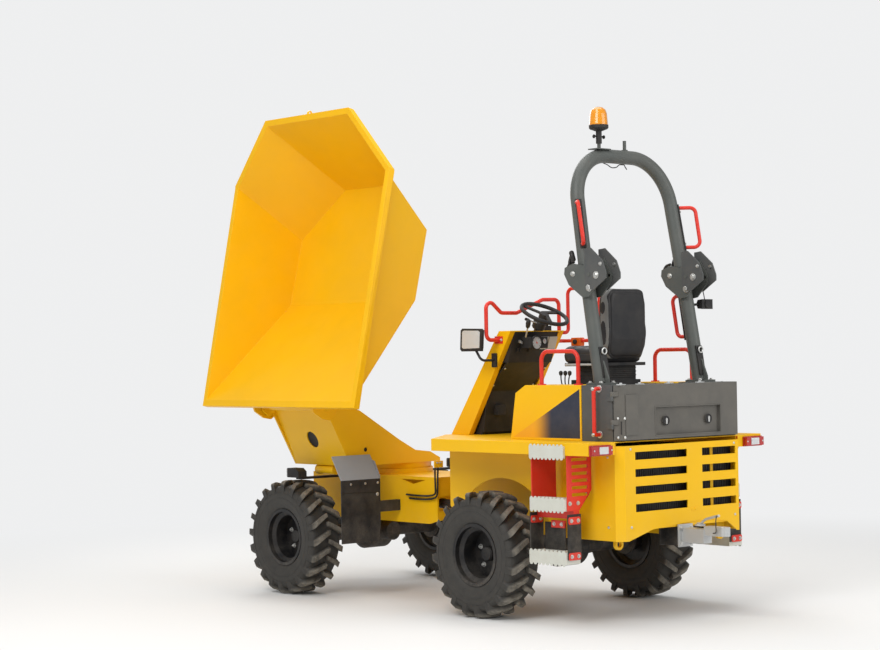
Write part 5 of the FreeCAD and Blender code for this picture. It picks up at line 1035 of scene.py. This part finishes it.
for side in (1, -1):
    middle = pivot["legY"] * side
    for offset in bracket["offsets"]:
        out = 1 if offset > 0 else -1
        thick = bracket["thick"] * out
        addPrism(plates, [spot(x, middle + offset, z) for x, z in bracket["outline"]], Vector((0, thick / 1000, 0)))
        for (x, z), radius in ((bracket["pin"], 0.017), (bracket["knob"], 0.009)):
            addBolt(pins, spot(x, middle + offset + thick, z), (0, out, 0), radius, 0.010)
            # the pin's inner end stops short of the leg that folds past it
            addTurned(pins, spot(x, middle + offset + out, z), (0, -out, 0), [(0, 0.010), (0.012, 0.010)], 14)
    line = roundedLine([spot(x, middle + 34 * side, z) for x, z in bracket["ring"]], 8)
    addTube(leverRings, line, 0.011, 12)
    addTurned(leverRings, line[0] - Vector((0.006, 0, -0.014)), (0.35, 0, 0.94), [
        (-0.052, 0.011), (-0.046, 0.016), (0.010, 0.017), (0.020, 0.010)], 18)
    # the split clamp band on the bow's foot
    bandPlace = spot(-830 + (bracket["bandLow"] - 1570) * lean, middle, bracket["bandLow"])
    heading = Vector((lean, 0, 1)).normalized()
    addTurned(handlePads, bandPlace, heading, [(0, 0.0492), (0.012, 0.0492)], 40)
addPiece("hingeClamps", plates, "rear_chassis", "boxGrey", bevel=0.0015)
addPiece("hingeRings", leverRings, "rear_chassis", "blackPaint", smooth=40)
addPiece("hingePins", pins, "rear_chassis", "zincBolt")

workLamp = {"body": (-787, -604, 2084), "rodTop": (-752, -548, 2226), "rodLow": (-790, -604, 2114)}
lampBody, lampRod = bmesh.new(), bmesh.new()
x, y, z = workLamp["body"]
corners = [(-25, -34), (18, -30), (26, -12), (26, 12), (18, 30), (-25, 34)]
addPrism(lampBody, [spot(x + dx, y - 58, z + dz) for dx, dz in corners], Vector((0, 0.110, 0)))
addTurned(lampBody, spot(x - 22, y - 3, z), (-1, 0, 0), [(0, 0.030), (0.010, 0.030), (0.013, 0.026), (0.011, 0.024)], 26)
addTube(lampRod, roundedLine([spot(*workLamp["rodTop"]), spot(-778, -592, 2186), spot(*workLamp["rodLow"])]), 0.0035, 8)
addTube(lampRod, roundedLine([spot(-752, -505, 2076), spot(-758, -528, 2080), spot(-776, -548, 2084)]), 0.009, 10)
addPiece("workLamp", lampBody, "rear_chassis", "blackPlastic", bevel=0.004, smooth=40)
addPiece("workLampRod", lampRod, "rear_chassis", "blackPaint", smooth=40)

addPiece("hingeBolts", lowerBolts, "rear_chassis", "zincBolt")
addPiece("hingeHandles", lowerPads, "rear_chassis", "blackPaint", bevel=0.0015, smooth=40)
addPiece("eyeBolts", rings, "rear_chassis", "zincBolt", smooth=50)
addPiece("handlePads", handlePads, "roll_bar_bow", "blackPaint", bevel=0.0015)
addPiece("handleBolts", barBolts, "roll_bar_bow", "zincBolt")

wires = {"line": [(-561, 150, 3040), (-556, 100, 3030), (-558, 58, 3012), (-560, 14, 3016), (-556, -20, 3034),
                  (-560, -60, 3036)], "tail": [(-560, -64, 3036), (-556, -80, 3020), (-558, -92, 3006)]}
wireShape = bmesh.new()
for key in ("line", "tail"):
    addTube(wireShape, roundedLine([spot(*place) for place in wires[key]]), 0.0035, 8)
addPiece("beaconWire", wireShape, "roll_bar_bow", "blackPlastic", smooth=50)
beaconLow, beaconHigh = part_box("beacon_base")
stem = (beaconLow + beaconHigh) / 2
wing = bmesh.new()
addTube(wing, [Vector((stem.x, stem.y, beaconLow.z + 0.046)) + Vector((0, offset, rise)) for offset, rise in (
    (-0.052, 0.006), (-0.020, 0), (0.020, 0), (0.052, 0.006))], 0.005, 10)
addTurned(wing, Vector((stem.x, stem.y + 0.045, beaconLow.z + 0.046)), (0, 1, 0), [(0, 0.013), (0.004, 0.013)], 14)
addTurned(wing, Vector((stem.x, stem.y - 0.049, beaconLow.z + 0.046)), (0, 1, 0), [(0, 0.013), (0.004, 0.013)], 14)
addPiece("beaconWingNut", wing, "roll_bar_bow", "blackPlastic", smooth=40)

print("cover, boxes and rails")
coverLook = {
    "hooks": (559, 381, 102, -206), "hookBack": -1090, "latchY": (150, -270), "latchZ": 1312,
    "hingeScrews": [(586, 1217), (586, 1339), (552, 1217), (552, 1339)], "hingeSlotShade": (569, 1278),
    "recess": (-380, 260, 1222, 1402),
}
hooks, latchRings, latchPaddles, coverScrews, recessEdge = [bmesh.new() for count in range(5)]
for y in coverLook["hooks"]:
    seat, facing = surfaceAt("rear_cover", spot(coverLook["hookBack"] + 14, y, 1800), (0, 0, -1))
    addPrism(hooks, [seat + Vector((dx, dy, -0.0005)) for dx, dy in (
        (-0.012, -0.036), (0.012, -0.030), (0.012, 0.030), (-0.012, 0.036))], Vector((0, 0, 0.007)))
    addTurned(hooks, seat + Vector((0, 0, 0.006)), (0, 0, 1), [(0, 0.010), (0.007, 0.010), (0.009, 0.006)], 16)
for y in coverLook["latchY"]:
    seat, facing = surfaceAt("rear_cover", spot(-1400, y, coverLook["latchZ"]), (1, 0, 0))
    addTurned(latchRings, seat, (-1, 0, 0), [(-0.001, 0.032), (0.002, 0.032), (0.0035, 0.028), (0.0015, 0.026)], 28)
    addPrism(latchPaddles, [seat + Vector((0, dy, dz)) for dy, dz in (
        (-0.006, -0.022), (0.006, -0.022), (0.009, 0.012), (0, 0.018), (-0.009, 0.012))], Vector((-0.007, 0, 0)))
for y, z in coverLook["hingeScrews"]:
    seat, facing = surfaceAt("rear_cover", spot(-1400, y, z), (1, 0, 0))
    addButton(coverScrews, seat, (-1, 0, 0), 0.010)
# a thin black strip on the cover's face where the hinge slot is: painted shade of the slot
hingeSlotShade = bmesh.new()
y, z = coverLook["hingeSlotShade"]
seat, facing = surfaceAt("rear_cover", spot(-1400, y, z), (1, 0, 0))
addPrism(hingeSlotShade, [seat + Vector((0, dy, dz)) for dy, dz in (
    (-0.008, -0.042), (0.008, -0.042), (0.008, 0.042), (-0.008, 0.042))], Vector((-0.0015, 0, 0)))
addPiece("hingeSlotShade", hingeSlotShade, "cover", "blackPlastic", bevel=0.0005)
# the pale folded edge that stands round the recess
farRight, farLeft, low, high = coverLook["recess"]
for y0, y1, z0, z1 in ((farRight - 7, farLeft + 7, low - 7, low), (farRight - 7, farLeft + 7, high, high + 7),
                       (farRight - 7, farRight, low, high), (farLeft, farLeft + 7, low, high)):
    addBlock(recessEdge, (-1102.5, y0, z0), (-1098, y1, z1))
addPiece("coverHooks", hooks, "cover", "paleEnamel", bevel=0.0015, smooth=40)
addPiece("latchRings", latchRings, "cover", "blackPlastic", smooth=35)
addPiece("latchPaddles", latchPaddles, "cover", "zincBolt", bevel=0.001)
addPiece("coverScrews", coverScrews, "cover", "zincBolt")
addPiece("recessEdge", recessEdge, "cover", "coverGrey", bevel=0.0015)

boxLook = {
    # triangular colour field and the rolled edges on the outer face, along the machine then up
    "field": [(-753, 1528), (-753, 1205), (-126, 1205)], "fieldThick": 0.0004,
    "edgeWide": 13, "edgeOut": 0.0035,
}
for side, out in (("left", 1), ("right", -1)):
    field, edges, handleScrews, hoopBolts = [bmesh.new() for count in range(4)]
    outerLow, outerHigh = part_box(f"side_box_{side}")
    face = outerHigh.y if out > 0 else outerLow.y
    addPrism(field, [Vector((spot(x, 0, 0).x, face + 0.0001 * out, z / 1000)) for x, z in boxLook["field"]],
             Vector((0, boxLook["fieldThick"] * out, 0)))
    wide = boxLook["edgeWide"]
    for corners in ([(-767, 1191), (-102, 1191), (-104, 1191 + wide), (-767, 1191 + wide)],
                    [(-767, 1191 + wide), (-767 + wide, 1191 + wide), (-767 + wide, 1550), (-767, 1550)]):
        addPrism(edges, [Vector((spot(x, 0, 0).x, face - 0.0004 * out, z / 1000)) for x, z in corners],
                 Vector((0, boxLook["edgeOut"] * out, 0)))
    addPiece(f"colourField_{side}", field, "rear_chassis", "navyFade")
    addPiece(f"boxEdges_{side}", edges, "rear_chassis", "yellowPaint", bevel=0.0015)
    for z in (1235, 1530):
        seat, facing = surfaceAt(f"corner_box_{side}", spot(-930, 900 * out, z), (0, -out, 0))
        addTurned(handleScrews, seat, (0, out, 0), [(-0.001, 0.024), (0.004, 0.024), (0.005, 0.022)], 22)
        addBolt(handleScrews, spot(-930, (605 + 52 + 11) * out, z), (0, out, 0), 0.0085, 0.008)
    addPiece(f"cornerHandleScrews_{side}", handleScrews, "rear_chassis", "zincBolt")
    for x in (-700, -360):
        seat, facing = surfaceAt(f"side_box_{side}", spot(x, 590 * out, 1800), (0, 0, -1))
        place = spot(x, 560 * out, 0)
        place.z = seat.z
        addTurned(hoopBolts, place, (0, 0, 1), [(-0.0005, 0.030), (0.006, 0.030), (0.008, 0.027)], 26)
    addPiece(f"hoopFeet_{side}", hoopBolts, "rear_chassis", "redPaint", smooth=35)

railLook = {"foot": 360, "leftHeight": 1862, "rightHeight": 1890}
railFeet, railBolts = bmesh.new(), bmesh.new()
for side, z in ((1, railLook["leftHeight"]), (-1, railLook["rightHeight"])):
    seat, facing = surfaceAt("dash_tower", spot(railLook["foot"], 700 * side, z), (0, -side, 0))
    addPrism(railFeet, [seat + Vector((dx, -0.0005 * side, dz)) for dx, dz in (
        (-0.040, -0.026), (0.040, -0.026), (0.040, 0.026), (-0.040, 0.026))], Vector((0, 0.006 * side, 0)))
    for dx in (-0.029, 0.029):
        addBolt(railBolts, seat + Vector((dx, 0.005 * side, 0)), (0, side, 0), 0.008, 0.007)
addPiece("railFeet", railFeet, "rear_chassis", "redPaint", bevel=0.0015)
addPiece("railBolts", railBolts, "rear_chassis", "zincBolt")

print("seat cushions")
padLook = {
    # voxel, starting scale, pressure, most that a point moves, how deep a sewn channel is and how wide
    "seat_cushion": {"voxel": 0.006, "shrink": 0.006, "pressure": 4.0, "most": 0.014, "iron": 40, "channel": 0.0050, "wide": 0.0050},
    "seat_back": {"voxel": 0.006, "shrink": 0.006, "pressure": 4.0, "most": 0.012, "iron": 40, "channel": 0.0050, "wide": 0.0050},
}


def puffedPad(node):
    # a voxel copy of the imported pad, blown up like stitched foam and kept inside a small swell
    look = padLook[node]
    mesh = nodes[node].data.copy()
    mesh.materials.clear()
    mesh.materials.append(paint["seatVinyl"])
    mesh.materials.append(paint["seatPiping"])
    pad = bpy.data.objects.new("padded_" + node, mesh)
    bpy.context.scene.collection.objects.link(pad)
    remesh = pad.modifiers.new("evenSkin", "REMESH")
    remesh.mode = "VOXEL"
    remesh.voxel_size = look["voxel"]
    bpy.context.view_layer.update()
    even = bpy.data.meshes.new_from_object(pad.evaluated_get(bpy.context.evaluated_depsgraph_get()))
    pad.modifiers.clear()
    pad.data = even
    low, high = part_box(node)
    # blunt corners first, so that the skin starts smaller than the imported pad
    shape = bmesh.new()
    shape.from_mesh(even)
    for turn in range(14):
        bmesh.ops.smooth_vert(shape, verts=shape.verts, factor=0.5, use_axis_x=True, use_axis_y=True, use_axis_z=True)
    shape.normal_update()
    for point in shape.verts:
        point.co -= point.normal * look["shrink"] * 0.5
    shape.to_mesh(even)
    shape.free()
    start = [point.co.copy() for point in even.vertices]
    cloth = pad.modifiers.new("airInside", "CLOTH")
    cloth.settings.quality = 5
    cloth.settings.use_pressure = True
    cloth.settings.uniform_pressure_force = look["pressure"]
    cloth.settings.effector_weights.gravity = 0
    cloth.settings.tension_stiffness = 25
    cloth.settings.compression_stiffness = 25
    for step in range(1, 21):
        bpy.context.scene.frame_set(step)
    depsgraph = bpy.context.evaluated_depsgraph_get()
    blown = bpy.data.meshes.new_from_object(pad.evaluated_get(depsgraph))
    pad.modifiers.clear()
    swollen = [point.co.copy() for point in blown.vertices]
    bpy.data.meshes.remove(blown)
    for point, first, last in zip(even.vertices, start, swollen):
        move = last - first
        if move.length > look["most"]:
            move = move.normalized() * look["most"]
        point.co = first + move
    shape = bmesh.new()
    shape.from_mesh(even)
    for turn in range(look["iron"]):
        bmesh.ops.smooth_vert(shape, verts=shape.verts, factor=0.5, use_axis_x=True, use_axis_y=True,
                              use_axis_z=True)
    shape.to_mesh(even)
    shape.free()
    bpy.context.scene.frame_set(1)
    finer = pad.modifiers.new("finerSkin", "SUBSURF")
    finer.levels = finer.render_levels = 1
    bpy.context.view_layer.update()
    sewn = bpy.data.meshes.new_from_object(pad.evaluated_get(bpy.context.evaluated_depsgraph_get()))
    pad.modifiers.clear()
    pad.data = sewn
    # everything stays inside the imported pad's box with the small swell that a soft part may have
    for point in sewn.vertices:
        for axis in range(3):
            point.co[axis] = min(max(point.co[axis], low[axis] - 0.004), high[axis] + 0.004)
    return pad, sewn, low, high


def seamDepth(distance, wide):
    return math.exp(-(distance / wide) ** 2)


def sewPad(pad, mesh, node, seams):
    # seams is a function from a point to its distance from the nearest sewn line on the face that it belongs to
    look = padLook[node]
    normals = [point.normal.copy() for point in mesh.vertices]
    for point, normal in zip(mesh.vertices, normals):
        distance, depth = seams(point.co, normal)
        point.co -= normal * look["channel"] * depth * seamDepth(distance, look["wide"])
    mesh.shade_smooth()
    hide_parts(node)
    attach(pad, "rear_chassis")


def boxEdgeDistance(across, along, halfAcross, halfAlong, corner):
    # distance from the outline of a rounded rectangle
    dx, dy = abs(across) - (halfAcross - corner), abs(along) - (halfAlong - corner)
    outside = math.hypot(max(dx, 0), max(dy, 0)) + min(max(dx, dy), 0)
    return abs(outside - corner)


cushion, cushionMesh, cushionLow, cushionHigh = puffedPad("seat_cushion")
cushionMiddle = (cushionLow + cushionHigh) / 2


def cushionSeams(place, normal):
    if normal.z > 0.45:
        along, across = place.x - cushionMiddle.x, place.y - cushionMiddle.y
        panel = boxEdgeDistance(across, along, 0.138, 0.150, 0.045)
        lines = min((abs(along - offset) for offset in (-0.075, 0.0, 0.075)), default=1)
        inner = abs(across) < 0.134 and abs(along) < 0.146
        return (min(panel, lines) if inner else panel), 1.0
    if abs(normal.z) < 0.5:
        return abs(place.z - (cushionLow.z + 0.062)), 0.8
    return 1.0, 0.0


sewPad(cushion, cushionMesh, "seat_cushion", cushionSeams)
back, backMesh, backLow, backHigh = puffedPad("seat_back")
backMiddle = (backLow + backHigh) / 2


def backSeams(place, normal):
    up, across = place.z - backMiddle.z, place.y - backMiddle.y
    if normal.x > 0.4:
        panel = boxEdgeDistance(across, up - 0.01, 0.125, 0.205, 0.05)
        lines = min(abs(up - offset) for offset in (-0.12, -0.045, 0.03, 0.105))
        inner = abs(across) < 0.121 and abs(up - 0.01) < 0.20
        return (min(panel, lines) if inner else panel), 1.0
    if normal.x < -0.5:
        return boxEdgeDistance(across, up, 0.168, 0.222, 0.06), 0.7
    return 1.0, 0.0


sewPad(back, backMesh, "seat_back", backSeams)
# a sewn bead runs round the rear face of the back, in a paler finish
for face in backMesh.polygons:
    up, across = face.center.z - backMiddle.z, face.center.y - backMiddle.y
    if face.normal.x < 0.2 and boxEdgeDistance(across, up, 0.186, 0.238, 0.07) < 0.0055:
        face.material_index = 1

bracket, slides = bmesh.new(), bmesh.new()
seatLow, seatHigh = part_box("seat_base")
for number in range(6):
    rise = 1590 + number * 13
    half = 138 + (4 if number % 2 else -3)
    addBlock(bracket, (-560 - 8, -half, rise), (-560 + 268 + 8, half, rise + 8))
for y in (-196, 196):
    addBlock(slides, (-590, y - 14, 1676), (-232, y + 14, 1690))
    addTurned(slides, spot(-250, y * 1.02, 1683), (0, 1 if y > 0 else -1, 0), [(0, 0.009), (0.012, 0.009), (0.014, 0.005)], 16)
addPiece("seatBellows", bracket, "rear_chassis", "strapRubber", bevel=0.003, smooth=40)
addPiece("seatSlides", slides, "rear_chassis", "zincBolt", bevel=0.0015, smooth=40)

print("floor")
floorMesh = bpy.data.meshes.new("floor")
reach = studio["floorSize"] / 2
floorMesh.from_pydata([(-reach, -reach, 0), (reach, -reach, 0), (reach, reach, 0), (-reach, reach, 0)], [],
                      [(0, 1, 2, 3)])
floor = bpy.data.objects.new("floor", floorMesh)
bpy.context.scene.collection.objects.link(floor)
floorPaint = bpy.data.materials.new("floorPaint")
floorPaint.use_nodes = True
tree = floorPaint.node_tree
floorShader = tree.nodes["Principled BSDF"]
floorShader.inputs["Base Color"].default_value = (*studio["floorColour"], 1)
floorShader.inputs["Roughness"].default_value = 0.9
floorShader.inputs["Specular IOR Level"].default_value = 0.1
# away from the machine the floor runs into the backdrop, so that no horizon shows
place = addNode(tree, "ShaderNodeTexCoord")
distance = addNode(tree, "ShaderNodeVectorMath", operation="LENGTH")
fade = addNode(tree, "ShaderNodeMapRange", [("From Min", studio["fadeStart"]), ("From Max", studio["fadeStop"])],
               interpolation_type="SMOOTHSTEP")
seen = addNode(tree, "ShaderNodeLightPath")
mirrored = addNode(tree, "ShaderNodeMath", operation="MAXIMUM")
through = addNode(tree, "ShaderNodeMath", operation="MAXIMUM")
share = addNode(tree, "ShaderNodeMath", operation="MULTIPLY")
backdrop = addNode(tree, "ShaderNodeEmission", [("Color", (*studio["backdrop"], 1)), ("Strength", 1.0)])
mixed = addNode(tree, "ShaderNodeMixShader")
tree.links.new(place.outputs["Object"], distance.inputs[0])
tree.links.new(distance.outputs["Value"], fade.inputs["Value"])
tree.links.new(seen.outputs["Is Camera Ray"], mirrored.inputs[0])
tree.links.new(seen.outputs["Is Glossy Ray"], mirrored.inputs[1])
tree.links.new(mirrored.outputs[0], through.inputs[0])
tree.links.new(seen.outputs["Is Transmission Ray"], through.inputs[1])
tree.links.new(fade.outputs[0], share.inputs[0])
tree.links.new(through.outputs[0], share.inputs[1])
tree.links.new(share.outputs[0], mixed.inputs[0])
tree.links.new(floorShader.outputs[0], mixed.inputs[1])
tree.links.new(backdrop.outputs[0], mixed.inputs[2])
tree.links.new(mixed.outputs[0], tree.nodes["Material Output"].inputs["Surface"])
floorMesh.materials.append(floorPaint)
